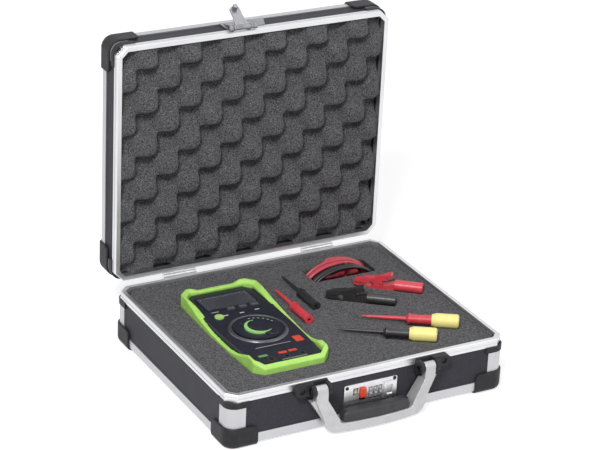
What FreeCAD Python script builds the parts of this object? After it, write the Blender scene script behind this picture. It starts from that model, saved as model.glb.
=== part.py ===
import FreeCAD, Part
import math
import os
from types import SimpleNamespace

import Sketcher

# A hand-held multimeter with its test leads, probes and clips in an aluminium-framed case,
# lid open, in millimetres. The sheet's values come first, then the drawing helpers, then one
# function for each assembly, and last the tests and the files.

SIZES = {
    # case: outside sizes, and the boards held in extruded edges
    "case_width": 345.0,
    "case_depth": 285.0,
    "base_height": 65.0,
    "lid_height": 45.0,
    "board": 3.0,
    "skin": 1.2,
    "inner_skin": 1.5,
    "rim_height": 9.0,
    "rim_web": 1.5,
    "rim_bevel": 1.0,
    "rim_chamfer": 10.5,
    "rim_groove": 0.6,
    "rim_groove_place": 4.2,
    "trim_reach": 13.0,
    "trim_radius": 5.0,
    "post_reach": 21.0,
    "post_radius": 12.0,
    "foot": 2.0,
    "cap_reach": 36.0,
    "cap_wall": 2.2,
    "cap_end_radius": 7.0,
    "cap_edge_radius": 1.0,
    "base_cap_height": 25.0,
    "lid_cap_height": 25.0,
    "collar_reach": 25.0,
    "collar_height": 7.0,
    "collar_proud": 1.0,
    # from the middle of the case back to the middle of the set's box, lid open
    "stand_shift": 13.7,
    # lid hinges
    "hinge_behind": 4.0,
    "hinge_place": 91.0,
    "hinge_length": 42.0,
    "hinge_plate": 1.2,
    "hinge_plate_top": 1.5,
    "hinge_plate_drop": 8.5,
    "knuckle_radius": 2.6,
    "knuckle_gap": 0.3,
    "hinge_pin_radius": 1.2,
    "running_gap": 0.05,
    # foam: the inlay under the rim, its pockets and the lid's egg-crate
    "foam_gap": 0.4,
    "foam_drop": 6.0,
    "inlay_thick": 35.0,
    "pocket_gap": 0.8,
    "rest_gap": 0.3,
    "crate_pitch_x": 56.0,
    "crate_pitch_y": 53.0,
    "crate_swing": 10.0,
    "crate_proud": 6.0,
    "crate_steepness": 1.5,
    # handle: brackets on the front, pins, die-cast frame and grip
    "bracket_inner": 55.3,
    "bracket_outer": 97.0,
    "bracket_drop": 1.5,
    "bracket_height": 19.5,
    "bracket_plate": 4.2,
    "bracket_wing_rise": 6.0,
    "bracket_wing_thick": 9.0,
    "bracket_screw_place": 88.5,
    "bracket_screw_radius": 3.4,
    "bracket_screw_depth": 3.0,
    "cheek_root": 1.0,
    "pivot_out": 9.5,
    "pivot_drop": 9.0,
    "cheek": 4.6,
    "cheek_radius": 6.5,
    "arm_width": 14.0,
    "arm_gap": 0.3,
    "arm_depth": 9.5,
    "arm_knuckle": 5.5,
    "handle_pin_radius": 2.0,
    "handle_bottom": 3.5,
    "handle_bar": 10.5,
    "handle_taper": 14.8,
    "handle_taper_out": 11.0,
    "handle_corner": 15.0,
    "handle_inner_corner": 4.0,
    "handle_stock": 26.0,
    "heel_gap": 1.2,
    "heel_flare": 4.5,
    "handle_bow": 7.2,
    "grip_height": 12.0,
    "grip_depth": 14.0,
    "grip_radius": 6.0,
    "grip_inset": 1.0,
    "grip_round": 4.0,
    # lock in the front board
    "lock_width": 66.0,
    "lock_foot": 18.0,
    "lock_head": 48.0,
    "lock_plate": 2.2,
    "lock_case_inset": 4.0,
    "lock_case_depth": 14.5,
    "lock_corner": 2.0,
    "block_place": 23.5,
    "block_width": 14.0,
    "block_height": 20.0,
    "block_rise": 1.2,
    "block_recess": 1.6,
    "block_recess_width": 7.0,
    "block_recess_height": 12.0,
    "dial_radius": 8.0,
    "dial_width": 4.2,
    "dial_pitch": 6.0,
    "dial_first": 0.0,
    "dial_up": 33.5,
    "dial_proud": 1.5,
    "dial_gap": 0.4,
    "dial_window": 14.8,
    "dial_notch": 0.6,
    "axle_radius": 1.5,
    "button_place": -10.0,
    "button_width": 7.0,
    "button_height": 11.0,
    "button_travel": 4.0,
    "button_top": 42.0,
    "button_proud": 3.0,
    "button_depth": 4.0,
    "catch_slot_place": -18.5,
    "catch_slot_width": 6.4,
    "catch_slot_foot": 34.0,
    "catch_slot_head": 43.0,
    "catch_slot_depth": 6.0,
    # hasp on the lid's front
    "hasp_left": -34.0,
    "hasp_right": 22.0,
    "hasp_plate": 2.2,
    "hasp_slant": 8.0,
    "hasp_margin": 0.3,
    "hasp_axis_out": 4.6,
    "hasp_axis_up": 1.0,
    "hasp_cheek": 2.8,
    "hasp_cheek_radius": 3.3,
    "flap_width": 18.0,
    "flap_thick": 2.4,
    "flap_knuckle": 3.0,
    "flap_knuckle_offset": 0.6,
    "flap_waist": 12.0,
    "flap_corner": 4.0,
    "flap_pin": 1.3,
    "flap_open_angle": 147.0,
    "tongue_width": 4.0,
    "tongue_height": 5.0,
    "tongue_reach": 5.0,
    "tongue_gap": 0.6,
    # meter: its place in the foam, holster and two-part housing
    "meter_x": -71.0,
    "meter_y": -3.0,
    "meter_length": 196.0,
    "meter_top_width": 96.0,
    "meter_foot_width": 93.0,
    "meter_corner": 10.0,
    "meter_shoulder": 13.0,
    "meter_swell": 2.5,
    "holster_wall": 4.6,
    "holster_floor": 3.0,
    "holster_height": 44.0,
    "bumper_rise": 3.2,
    "bumper_width": 15.0,
    "bumper_slope": 9.0,
    "lip_reach": 11.0,
    "lip_crest": 1.6,
    "dip_height": 35.5,
    "dip_y": -28.0,
    "dip_foot": 46.0,
    "dip_head": 100.0,
    "housing_gap": 0.2,
    "housing_wall": 2.5,
    "housing_split": 21.0,
    "face_height": 40.0,
    "face_round": 2.5,
    "window_width": 62.0,
    "window_height": 30.0,
    "window_y": 66.5,
    "window_thick": 2.5,
    "display_thick": 4.0,
    "display_margin": 3.0,
    "switch_y": -10.5,
    "switch_radius": 27.0,
    "switch_thick": 1.6,
    "switch_ring": 33.0,
    "switch_ring_width": 3.0,
    "switch_ring_rise": 1.6,
    "switch_bar_width": 14.0,
    "switch_bar_rise": 1.8,
    "switch_bar_round": 0.8,
    "switch_turn": 30.0,
    "switch_shaft": 4.0,
    "key_y": 46.0,
    "key_width": 9.0,
    "key_height": 4.6,
    "key_pitch": 15.0,
    "key_first": -5.5,
    "key_proud": 1.4,
    "key_depth": 7.0,
    "key_gap": 0.35,
    "power_x": -27.0,
    "power_y": 31.8,
    "power_radius": 5.4,
    "socket_y": -79.0,
    "socket_pitch": 19.0,
    "socket_radius": 6.0,
    "socket_bore": 2.0,
    "socket_depth": 14.0,
    "circuit_board": 1.6,
    "circuit_board_up": 22.0,
    "circuit_board_width": 60.0,
    "circuit_board_length": 170.0,
    "boss_radius": 4.0,
    "boss_x": 24.0,
    "boss_y": 75.0,
    "cell_radius": 7.2,
    "cell_length": 50.0,
    "cell_nub": 2.6,
    "cell_place_x": 9.0,
    "cell_place_y": 20.0,
    # slip-on probes
    "probe_length": 84.0,
    "probe_shaft": 2.4,
    "probe_shaft_end": 1.7,
    "probe_tip": 0.8,
    "probe_tip_length": 7.0,
    "probe_shaft_length": 46.0,
    "probe_guard": 5.6,
    "probe_guard_length": 4.0,
    "probe_waist": 4.4,
    "probe_end": 4.9,
    "probe_lip": 0.5,
    "probe_lip_length": 2.0,
    "probe_swell": 0.4,
    "probe_axis_rise": 3.0,
    "probe_bore_depth": 20.0,
    "plug_radius": 2.0,
    # crocodile clips
    "clip_length": 81.0,
    "clip_width": 11.0,
    "clip_tip_width": 6.0,
    "clip_barrel": 6.5,
    "clip_barrel_length": 33.0,
    "clip_bore_depth": 24.0,
    "clip_pivot_x": 52.0,
    "clip_pivot_up": 3.0,
    "clip_pivot_radius": 1.6,
    "clip_cheek_radius": 5.0,
    "clip_tail_x": 36.0,
    "clip_tail_up": 9.5,
    "clip_tail_width": 10.0,
    "clip_tail_bevel": 1.6,
    "clip_lever_width": 6.0,
    "clip_lever_thick": 5.0,
    "clip_jaw_gap": 0.6,
    "clip_jaw_tip": 2.8,
    "clip_tooth": 1.0,
    "clip_bite": 13.0,
    "clip_eye": 3.4,
    "clip_eye_place": 4.0,
    "clip_jaw_width": 9.0,
    "clip_axis_rise": 3.0,
    # hook probes with a sprung plunger
    "hook_length": 110.0,
    "hook_shaft": 2.4,
    "hook_shaft_end": 1.6,
    "hook_wire": 0.8,
    "hook_wire_length": 6.0,
    "hook_shaft_length": 50.0,
    "hook_collar": 6.2,
    "hook_grip": 5.4,
    "hook_rib": 0.45,
    "hook_rib_pitch": 2.8,
    "hook_stem": 3.0,
    "hook_plunger": 8.3,
    "hook_plunger_length": 31.0,
    "hook_nose": 6.6,
    "hook_bevel": 5.0,
    "hook_rear_bevel": 1.6,
    "hook_travel": 8.0,
    "hook_gap": 0.35,
    "hook_overlap": 10.0,
    "hook_stem_start": 2.0,
    "hook_collar_length": 5.0,
    "hook_axis_rise": 4.0,
    # test leads: loops standing on edge in a slot of the foam
    "lead_radius": 1.9,
    "lead_middle_x": 91.5,
    "lead_middle_y": 93.0,
    "lead_half_width": 43.0,
    "lead_half_height": 28.5,
    "lead_pitch": 4.2,
    "lead_turns": 3,
    "lead_sway": 0.03,
    "lead_sway_rate": 0.7,
    "lead_end_radius": 12.0,
    "lead_plug_radius": 4.6,
    "lead_plug_length": 30.0,
    "lead_plug_shroud": 14.0,
    "lead_plug_lip": 1.0,
    "lead_slot_gap": 1.6,
    "lead_mouth_depth": 10.0,
    # where each accessory's socket end lies in plan, and the turn of its tip from +x in degrees
    "red_probe_x": -5.9,
    "red_probe_y": -13.1,
    "red_probe_turn": 89.6,
    "black_probe_x": 18.2,
    "black_probe_y": 14.6,
    "black_probe_turn": 89.8,
    "red_clip_x": 154.0,
    "red_clip_y": 4.8,
    "red_clip_turn": 141.5,
    "black_clip_x": 108.8,
    "black_clip_y": -10.1,
    "black_clip_turn": 143.3,
    "red_hook_x": 146.3,
    "red_hook_y": -86.4,
    "red_hook_turn": 148.7,
    "black_hook_x": 106.2,
    "black_hook_y": -104.7,
    "black_hook_turn": 148.6,
}

Vector = FreeCAD.Vector
X_AXIS = Vector(1, 0, 0)
Y_AXIS = Vector(0, 1, 0)
Z_AXIS = Vector(0, 0, 1)


class Size:
    """A length: its value, and the sheet expression that gives it."""

    def __init__(self, value, text):
        self.value = value
        self.text = text

    def __float__(self):
        return float(self.value)

    def __add__(self, other):
        other = as_size(other)
        return Size(self.value + other.value, f"({self.text} + {other.text})")

    def __sub__(self, other):
        other = as_size(other)
        return Size(self.value - other.value, f"({self.text} - {other.text})")

    def __mul__(self, other):
        other = as_size(other)
        return Size(self.value * other.value, f"({self.text} * {other.text})")

    def __truediv__(self, other):
        other = as_size(other)
        return Size(self.value / other.value, f"({self.text} / {other.text})")

    def __radd__(self, other):
        return as_size(other) + self

    def __rsub__(self, other):
        return as_size(other) - self

    def __rmul__(self, other):
        return as_size(other) * self

    def __neg__(self):
        return 0 - self


def as_size(number):
    """A plain number as a Size; a Size stays as it is."""
    return number if isinstance(number, Size) else Size(float(number), repr(float(number)))


doc = FreeCAD.newDocument("multimeter_set")
sheet = doc.addObject("Spreadsheet::Sheet", "sizes")
mm = SimpleNamespace()
for row, (word, value) in enumerate(SIZES.items(), start=1):
    sheet.set(f"A{row}", word)
    sheet.set(f"B{row}", str(value))
    sheet.setAlias(f"B{row}", word)
    setattr(mm, word, Size(value, f"sizes.{word}"))
doc.recompute()
nodes = []


def bind(thing, place, amount):
    """Tie one property or constraint of an object to the sheet."""
    thing.setExpression(place, as_size(amount).text)


def new_body(name):
    """An empty body of features."""
    return doc.addObject("PartDesign::Body", name)


def draw(body, role, outlines, lift=0):
    """A sketch on one of the body's planes, lifted along its normal, with closed outlines.

    An outline is a list of corners (x, y). A corner with three more numbers, (x, y, cx, cy, radius),
    starts an arc of that radius about (cx, cy), and a single (x, y, radius) is a whole circle.
    """
    sketch = body.newObject("Sketcher::SketchObject", f"{body.Name}_sketch")
    plane = next(f for f in body.Origin.OriginFeatures if f.Role == role)
    sketch.AttachmentSupport = [(plane, "")]
    sketch.MapMode = "FlatFace"
    bind(sketch, "AttachmentOffset.Base.z", lift)
    for outline in outlines:
        if len(outline) == 1:
            draw_circle(sketch, *outline[0])
        else:
            draw_loop(sketch, outline)
    return sketch


def fix_point(sketch, geometry, end, x, y):
    """Hold one point of a sketch at x, y from its origin."""
    for kind, amount in (("DistanceX", as_size(x)), ("DistanceY", as_size(y))):
        held = sketch.addConstraint(Sketcher.Constraint(kind, -1, 1, geometry, end, amount.value))
        bind(sketch, f"Constraints[{held}]", amount)


def fix_radius(sketch, geometry, radius):
    """Hold the radius of a circle or an arc."""
    held = sketch.addConstraint(Sketcher.Constraint("Radius", geometry, float(radius)))
    bind(sketch, f"Constraints[{held}]", radius)


def draw_circle(sketch, x, y, radius):
    """A whole circle in a sketch."""
    circle = Part.Circle(Vector(float(x), float(y), 0), Z_AXIS, float(radius))
    geometry = sketch.addGeometry(circle)
    fix_point(sketch, geometry, 3, x, y)
    fix_radius(sketch, geometry, radius)


def draw_loop(sketch, corners):
    """A closed loop of lines and arcs in a sketch."""
    points = [Vector(float(c[0]), float(c[1]), 0) for c in corners]
    sides = []
    for corner, here, there in zip(corners, points, points[1:] + points[:1]):
        if len(corner) == 2:
            sides.append((sketch.addGeometry(Part.LineSegment(here, there)), 1, 2))
            continue
        centre = Vector(float(corner[2]), float(corner[3]), 0)
        leftward = (there - here).cross(centre - here).z > 0
        first, last = (here, there) if leftward else (there, here)
        angles = [math.atan2((p - centre).y, (p - centre).x) for p in (first, last)]
        circle = Part.Circle(centre, Z_AXIS, float(corner[4]))
        arc = sketch.addGeometry(Part.ArcOfCircle(circle, *angles))
        fix_radius(sketch, arc, corner[4])
        sides.append((arc, 1, 2) if leftward else (arc, 2, 1))
    for (side, _, end), (following, start, _) in zip(sides, sides[1:] + sides[:1]):
        sketch.addConstraint(Sketcher.Constraint("Coincident", side, end, following, start))
    for (side, start, _), corner in zip(sides, corners):
        fix_point(sketch, side, start, corner[0], corner[1])


def pad(body, sketch, length, reverse=False):
    """Material added to a body from a sketch."""
    feature = body.newObject("PartDesign::Pad", f"{body.Name}_pad")
    feature.Profile = sketch
    bind(feature, "Length", length)
    feature.Reversed = reverse
    return feature


def pocket(body, sketch, depth=None, reverse=False):
    """Material cut from a body under a sketch, to a depth or right through."""
    feature = body.newObject("PartDesign::Pocket", f"{body.Name}_pocket")
    feature.Profile = sketch
    feature.Reversed = reverse
    if depth is None:
        feature.Type = "ThroughAll"
    else:
        bind(feature, "Length", depth)
    return feature


def revolve(body, sketch):
    """A full turn of a sketch about its own horizontal axis."""
    feature = body.newObject("PartDesign::Revolution", f"{body.Name}_turn")
    feature.Profile = sketch
    feature.ReferenceAxis = (sketch, ["H_Axis"])
    feature.Angle = 360.0
    return feature


def round_edges(body, radius, chosen):
    """A fillet on the edges of the body's last feature that a test on their middle picks."""
    doc.recompute()
    last = body.Tip
    names = []
    for number, edge in enumerate(last.Shape.Edges, start=1):
        middle = edge.valueAt((edge.FirstParameter + edge.LastParameter) / 2)
        if chosen(edge, middle):
            names.append(f"Edge{number}")
    feature = body.newObject("PartDesign::Fillet", f"{body.Name}_fillet")
    feature.Base = (last, names)
    bind(feature, "Radius", radius)
    return feature


def upright(edge):
    """Whether an edge is straight along Z."""
    ends = [v.Point for v in edge.Vertexes]
    return len(ends) == 2 and abs((ends[1] - ends[0]).normalize().z) > 0.999


def rectangle(x0, y0, x1, y1):
    """The four corners of a rectangle."""
    return [(x0, y0), (x1, y0), (x1, y1), (x0, y1)]


def mirrored(name, source, normals):
    """A piece and its mirror images, as one group of separate solids."""
    family = [source]
    for normal in normals:
        for member in list(family):
            image = doc.addObject("Part::Mirroring", f"{name}_image")
            image.Source = member
            image.Normal = normal
            family.append(image)
    return gathered(name, family)


def gathered(name, members):
    """Several solids as one group."""
    group = doc.addObject("Part::Compound", name)
    group.Links = members
    return group


def cut(name, base, tool):
    """One shape less another."""
    feature = doc.addObject("Part::Cut", name)
    feature.Base = base
    feature.Tool = tool
    return feature


def finish(label, thing, place):
    """Name a finished sub-part and put it in its place."""
    thing.Label = label
    thing.Placement = place
    nodes.append(thing)


def moved(x, y, z, turn=0.0, about=Z_AXIS):
    """A placement from lengths, turned about an axis through the new origin."""
    return FreeCAD.Placement(Vector(float(x), float(y), float(z)), FreeCAD.Rotation(about, turn))


# Shared places. A shell's own frame has its rim plane at z = 0 and its floor below.
half_width = mm.case_width / 2
half_depth = mm.case_depth / 2
rim_width = mm.skin + mm.board + mm.inner_skin
hinge_y = half_depth + mm.hinge_behind
case_place = moved(0, -mm.stand_shift, 0)
base_place = moved(0, -mm.stand_shift, mm.base_height)
lid_place = moved(0, hinge_y - mm.stand_shift, mm.base_height + hinge_y, 90, X_AXIS)


def eight_sides(width, depth, chamfer):
    """A rectangle with its corners cut at 45 degrees."""
    x, y = width / 2, depth / 2
    return [
        (x - chamfer, -y), (x, chamfer - y), (x, y - chamfer), (x - chamfer, y),
        (chamfer - x, y), (-x, y - chamfer), (-x, chamfer - y), (chamfer - x, -y),
    ]


def edge_section(x, y, up, reach, radius):
    """The section of an extruded corner edge with a slot for a board in each leg.

    The outside corner is at (x, y), one leg runs towards -x, and the other up or down in y.
    """
    near = mm.skin
    far = mm.skin + mm.board
    inside = far + mm.inner_skin
    path = [
        (reach, 0), (radius, 0, radius, radius, radius), (0, radius), (0, reach),
        (near, reach), (near, radius), (far, radius), (far, reach),
        (inside, reach), (inside, inside), (reach, inside),
        (reach, far), (radius, far), (radius, near), (reach, near),
    ]
    section = []
    for u, v, *arc in path:
        corner = (x - u, y + up * v)
        if arc:
            corner += (x - arc[0], y + up * arc[1], arc[2])
        section.append(corner)
    return section


def rim_frame(name):
    """An extruded rim, mitred round the eight sides, with a slot below for the boards."""
    body = new_body(name)
    ring = eight_sides(mm.case_width, mm.case_depth, mm.rim_chamfer)
    path = draw(body, "XY_Plane", [ring])
    y = -half_depth
    slot_near = y + mm.skin
    slot_far = slot_near + mm.board
    inside = y + rim_width
    groove_top = -mm.rim_groove_place
    groove_foot = groove_top - mm.rim_groove * 2
    section = draw(body, "YZ_Plane", [[
        (y + mm.rim_bevel, 0), (y, -mm.rim_bevel), (y, groove_top),
        (y + mm.rim_groove, groove_top), (y + mm.rim_groove, groove_foot), (y, groove_foot),
        (y, -mm.rim_height), (slot_near, -mm.rim_height), (slot_near, -mm.rim_web),
        (slot_far, -mm.rim_web), (slot_far, -mm.rim_height), (inside, -mm.rim_height), (inside, 0),
    ]])
    sweep = body.newObject("PartDesign::AdditivePipe", f"{name}_sweep")
    sweep.Profile = section
    # the sweep starts on the front side, which is the last of the eight
    count = len(ring)
    sweep.Spine = (path, [f"Edge{(count - 1 + i) % count + 1}" for i in range(count)])
    sweep.Transition = "Right corner"
    return body


def corner_cap(name, height, cap_height):
    """A ball corner of plastic: a rounded block, hollowed by the rounded corner of the shell."""
    block = new_body(f"{name}_block")
    low = (half_width - mm.cap_reach, half_depth - mm.cap_reach)
    high = (half_width + mm.cap_wall, half_depth + mm.cap_wall)
    pad(block, draw(block, "XY_Plane", [rectangle(*low, *high)], -height), cap_height)
    corner = Vector(float(high[0]), float(high[1]), 0)
    top = cap_height - height

    def outer_upright(edge, middle):
        return upright(edge) and (middle - corner).x > -1 and (middle - corner).y > -1

    def outer_foot(edge, middle):
        on_floor = abs(middle.z + float(height)) < 0.01
        return on_floor and ((middle - corner).x > -1 or (middle - corner).y > -1)

    def leg_end(edge, middle):
        on_top = abs(middle.z - float(top)) < 0.01
        return on_top and (abs(middle.x - float(low[0])) < 0.01 or abs(middle.y - float(low[1])) < 0.01)

    def outer_rim(edge, middle):
        outside = (middle - corner).x > -0.01 or (middle - corner).y > -0.01
        return outside and abs(middle.z - float(top)) < 0.01

    round_edges(block, mm.post_radius + mm.cap_wall, outer_upright)
    round_edges(block, mm.trim_radius + mm.foot, outer_foot)
    round_edges(block, mm.cap_end_radius, leg_end)
    round_edges(block, mm.cap_edge_radius, outer_rim)

    core = new_body(f"{name}_core")
    reach = mm.cap_reach * 2
    pad(core, draw(core, "XY_Plane", [
        rectangle(half_width - reach, half_depth - reach, half_width, half_depth)
    ], mm.foot - height), height)
    shell_corner = Vector(float(half_width), float(half_depth), 0)

    def shell_upright(edge, middle):
        away = middle - shell_corner
        return upright(edge) and away.x > -1 and away.y > -1

    def shell_foot(edge, middle):
        away = middle - shell_corner
        near = float(mm.post_radius)
        return abs(middle.z - float(mm.foot - height)) < 0.01 and (away.x > -near or away.y > -near)

    round_edges(core, mm.post_radius, shell_upright)
    round_edges(core, mm.trim_radius, shell_foot)
    return cut(name, block, core)


def shell(prefix, height, cap_height, place, panel_names):
    """Boards, rim, edge trims, corner posts, caps and collars of the base or the lid."""
    floor = mm.foot - height
    board_foot = floor + mm.trim_radius
    board_head = -mm.rim_web
    across = half_width - mm.post_radius
    along = half_depth - mm.post_radius
    wall_face = half_depth - mm.skin
    end_face = half_width - mm.skin

    flat = new_body(f"{prefix}_flat")
    edge_x = half_width - mm.trim_radius
    edge_y = half_depth - mm.trim_radius
    pad(flat, draw(flat, "XY_Plane", [rectangle(-edge_x, -edge_y, edge_x, edge_y)], floor + mm.skin),
        mm.board)
    finish(panel_names["flat"], flat, place)

    back = new_body(f"{prefix}_back")
    pad(back, draw(back, "XZ_Plane", [rectangle(-across, board_foot, across, board_head)], -wall_face),
        mm.board)
    end = new_body(f"{prefix}_end")
    pad(end, draw(end, "YZ_Plane", [rectangle(-along, board_foot, along, board_head)],
                  end_face - mm.board), mm.board)
    ends = mirrored(f"{prefix}_ends", end, [X_AXIS])
    front = new_body(f"{prefix}_front")
    pad(front, draw(front, "XZ_Plane", [rectangle(-across, board_foot, across, board_head)],
                    wall_face - mm.board), mm.board)
    if "front" in panel_names:
        inset = mm.lock_case_inset - mm.hasp_margin
        low = mm.lock_foot + inset - mm.base_height
        high = mm.lock_head - inset - mm.base_height
        wide = mm.lock_width / 2 - inset
        pocket(front, draw(front, "XZ_Plane", [rectangle(-wide, low, wide, high)], wall_face))
        finish(panel_names["front"], front, place)
        walls = [back, ends]
    else:
        walls = [back, ends, front]
    finish(panel_names["walls"], gathered(f"{prefix}_walls", walls), place)

    finish(f"{prefix}_rim", rim_frame(f"{prefix}_rim"), place)

    trim_x = half_width - mm.post_reach
    trim_y = half_depth - mm.post_reach
    long_trim = new_body(f"{prefix}_long_trim")
    pad(long_trim, draw(long_trim, "YZ_Plane", [
        edge_section(half_depth, floor, 1, mm.trim_reach, mm.trim_radius)], -trim_x), trim_x * 2)
    short_trim = new_body(f"{prefix}_short_trim")
    pad(short_trim, draw(short_trim, "XZ_Plane", [
        edge_section(half_width, floor, 1, mm.trim_reach, mm.trim_radius)], -trim_y), trim_y * 2)
    trims = gathered(f"{prefix}_trims", [
        mirrored(f"{prefix}_long_trims", long_trim, [Y_AXIS]),
        mirrored(f"{prefix}_short_trims", short_trim, [X_AXIS]),
    ])
    finish(f"{prefix}_edge_trims", trims, place)

    collar_foot = -mm.rim_height - mm.collar_height
    post = new_body(f"{prefix}_post")
    pad(post, draw(post, "XY_Plane", [
        edge_section(half_width, half_depth, -1, mm.post_reach, mm.post_radius)], board_foot),
        collar_foot - board_foot)
    posts = mirrored(f"{prefix}_posts", post, [X_AXIS, Y_AXIS])
    finish(f"{prefix}_corner_posts", posts, place)

    cap = corner_cap(f"{prefix}_cap", height, cap_height)
    finish(f"{prefix}_corner_caps", mirrored(f"{prefix}_caps", cap, [X_AXIS, Y_AXIS]), place)

    collar = new_body(f"{prefix}_collar")
    bend = (half_width - mm.post_radius, half_depth - mm.post_radius)
    face_x = half_width + mm.collar_proud
    face_y = half_depth + mm.collar_proud
    reach_x = half_width - mm.collar_reach
    reach_y = half_depth - mm.collar_reach
    pad(collar, draw(collar, "XY_Plane", [[
        (reach_x, face_y), (bend[0], face_y, *bend, mm.post_radius + mm.collar_proud),
        (face_x, bend[1]), (face_x, reach_y), (end_face, reach_y),
        (end_face, bend[1], *bend, mm.post_radius - mm.skin), (bend[0], wall_face),
        (reach_x, wall_face),
    ]], collar_foot), mm.collar_height)
    collars = mirrored(f"{prefix}_collars", collar, [X_AXIS, Y_AXIS])
    finish(f"{prefix}_corner_collars", collars, place)


shell("base", mm.base_height, mm.base_cap_height, base_place,
      {"flat": "base_bottom_board", "front": "base_front_board", "walls": "base_wall_boards"})
shell("lid", mm.lid_height, mm.lid_cap_height, lid_place,
      {"flat": "lid_top_board", "walls": "lid_wall_boards"})


def bulge(here, there, rise):
    """Centre and radius of an arc from one corner to the next that swells to the right by rise."""
    across = as_size(there[0]) - here[0]
    along = as_size(there[1]) - here[1]
    depth = rise if float(rise) > 0 else -rise
    radius = ((across * across + along * along) / 4 + depth * depth) / (depth * 2)
    chord = math.hypot(float(across), float(along))
    back = math.copysign(float(radius) - float(depth), float(rise)) / chord
    x = float(here[0]) + float(across) / 2 - float(along) * back
    y = float(here[1]) + float(along) / 2 + float(across) * back
    return x, y, radius


def rod(name, role, x, y, radius, start, length):
    """A plain round bar square to one of the main planes."""
    body = new_body(name)
    pad(body, draw(body, role, [[(x, y, radius)]], start), length)
    return body


hinge_start = mm.hinge_place - mm.hinge_length / 2


def hinge_leaf(name, side, spans):
    """Two hinge leaves on a rim's outer face: a plate and its knuckles, bored for the pin."""
    body = new_body(name)
    face = half_depth * side
    outer = (half_depth + mm.hinge_plate) * side
    axis = hinge_y * side
    pad(body, draw(body, "YZ_Plane", [
        rectangle(face, -mm.hinge_plate_drop, outer, -mm.hinge_plate_top)], hinge_start), mm.hinge_length)
    web = [(face, -mm.hinge_plate_top), (face, -mm.hinge_plate_top - mm.knuckle_radius),
           (axis, -mm.knuckle_radius), (axis, 0)]
    for first, last in spans:
        for outline in (web, [(axis, 0, mm.knuckle_radius)]):
            pad(body, draw(body, "YZ_Plane", [outline], hinge_start + first), last - first)
    bore = [(axis, 0, mm.hinge_pin_radius + mm.running_gap)]
    pocket(body, draw(body, "YZ_Plane", [bore], hinge_start - mm.skin), reverse=True)
    return mirrored(f"{name}_pair", body, [X_AXIS])


def hinges():
    """Two pinned hinges behind the rims: base knuckles outside, lid knuckle between them."""
    third = mm.hinge_length / 3
    clear = mm.knuckle_gap / 2
    base_spans = [(as_size(0), third - clear), (third * 2 + clear, mm.hinge_length)]
    finish("hinge_base_leaves", hinge_leaf("hinge_base_leaf", 1, base_spans), base_place)
    lid_spans = [(third + clear, third * 2 - clear)]
    finish("hinge_lid_leaves", hinge_leaf("hinge_lid_leaf", -1, lid_spans), lid_place)
    pin = rod("hinge_pin", "YZ_Plane", hinge_y, 0, mm.hinge_pin_radius, hinge_start, mm.hinge_length)
    finish("hinge_pins", mirrored("hinge_pin_pair", pin, [X_AXIS]), base_place)


hinges()

# The handle hangs from two brackets in front of the base; its arms turn between their cheeks.
board_face = half_depth - mm.skin
pivot_y = -(half_depth + mm.pivot_out)
arm_in = mm.bracket_inner + mm.cheek + mm.arm_gap
arm_out = arm_in + mm.arm_width
arm_middle = arm_in + mm.arm_width / 2
arm_front = pivot_y - mm.arm_depth / 2
handle_bar_top = mm.handle_bottom + mm.handle_bar
bracket_head = mm.base_height - mm.bracket_drop
bracket_foot = bracket_head - mm.bracket_height
pivot_up = mm.base_height - mm.pivot_drop
handle_narrow = arm_in - mm.handle_taper


def handle_brackets():
    """Plastic brackets, hooked under the rim: two cheeks bored for a pin, and a thick screwed ear."""
    body = new_body("handle_bracket")
    inner, outer, foot = mm.bracket_inner, mm.bracket_outer, bracket_foot
    wing = foot + mm.bracket_wing_rise
    ear = (bracket_head - wing) / 2
    ear_x, ear_up = outer - ear, wing + ear
    ear_end = [(ear_x, wing, ear_x, ear_up, ear), (outer, ear_up, ear_x, ear_up, ear), (ear_x, bracket_head)]
    pad(body, draw(body, "XZ_Plane", [[
        (inner, foot), (arm_out, foot), (arm_out + mm.bracket_wing_rise, wing), *ear_end,
        (inner, bracket_head),
    ]], board_face), mm.bracket_plate)
    wing_start = arm_out + mm.arm_gap
    thick_ear = [(wing_start, wing), *ear_end, (wing_start, bracket_head)]
    pad(body, draw(body, "XZ_Plane", [thick_ear], board_face), mm.bracket_wing_thick)
    screw_well = [(mm.bracket_screw_place, ear_up, mm.bracket_screw_radius)]
    pocket(body, draw(body, "XZ_Plane", [screw_well], board_face + mm.bracket_wing_thick),
           mm.bracket_screw_depth)
    rim_foot = mm.base_height - mm.rim_height
    rebate = rectangle(inner - mm.skin, rim_foot, outer + mm.skin, mm.base_height)
    pocket(body, draw(body, "XZ_Plane", [rebate], half_depth), mm.skin * 2)
    root_y = mm.cheek_root - board_face - mm.bracket_plate
    up, radius = pivot_up, mm.cheek_radius
    cheek = [
        (root_y, up + radius), (pivot_y, up + radius, pivot_y, up, radius),
        (pivot_y - radius, up, pivot_y, up, radius), (pivot_y, up - radius), (root_y, foot),
    ]
    for start in (inner, arm_out + mm.arm_gap):
        pad(body, draw(body, "YZ_Plane", [cheek], start), mm.cheek)
    bore = [(pivot_y, up, mm.handle_pin_radius + mm.running_gap)]
    pocket(body, draw(body, "YZ_Plane", [bore], inner - mm.skin), reverse=True)
    finish("handle_brackets", mirrored("handle_bracket_pair", body, [X_AXIS]), case_place)
    pin = rod("handle_pin", "YZ_Plane", pivot_y, up, mm.handle_pin_radius, inner,
              arm_out + mm.arm_gap + mm.cheek - inner)
    finish("handle_pins", mirrored("handle_pin_pair", pin, [X_AXIS]), case_place)


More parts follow.
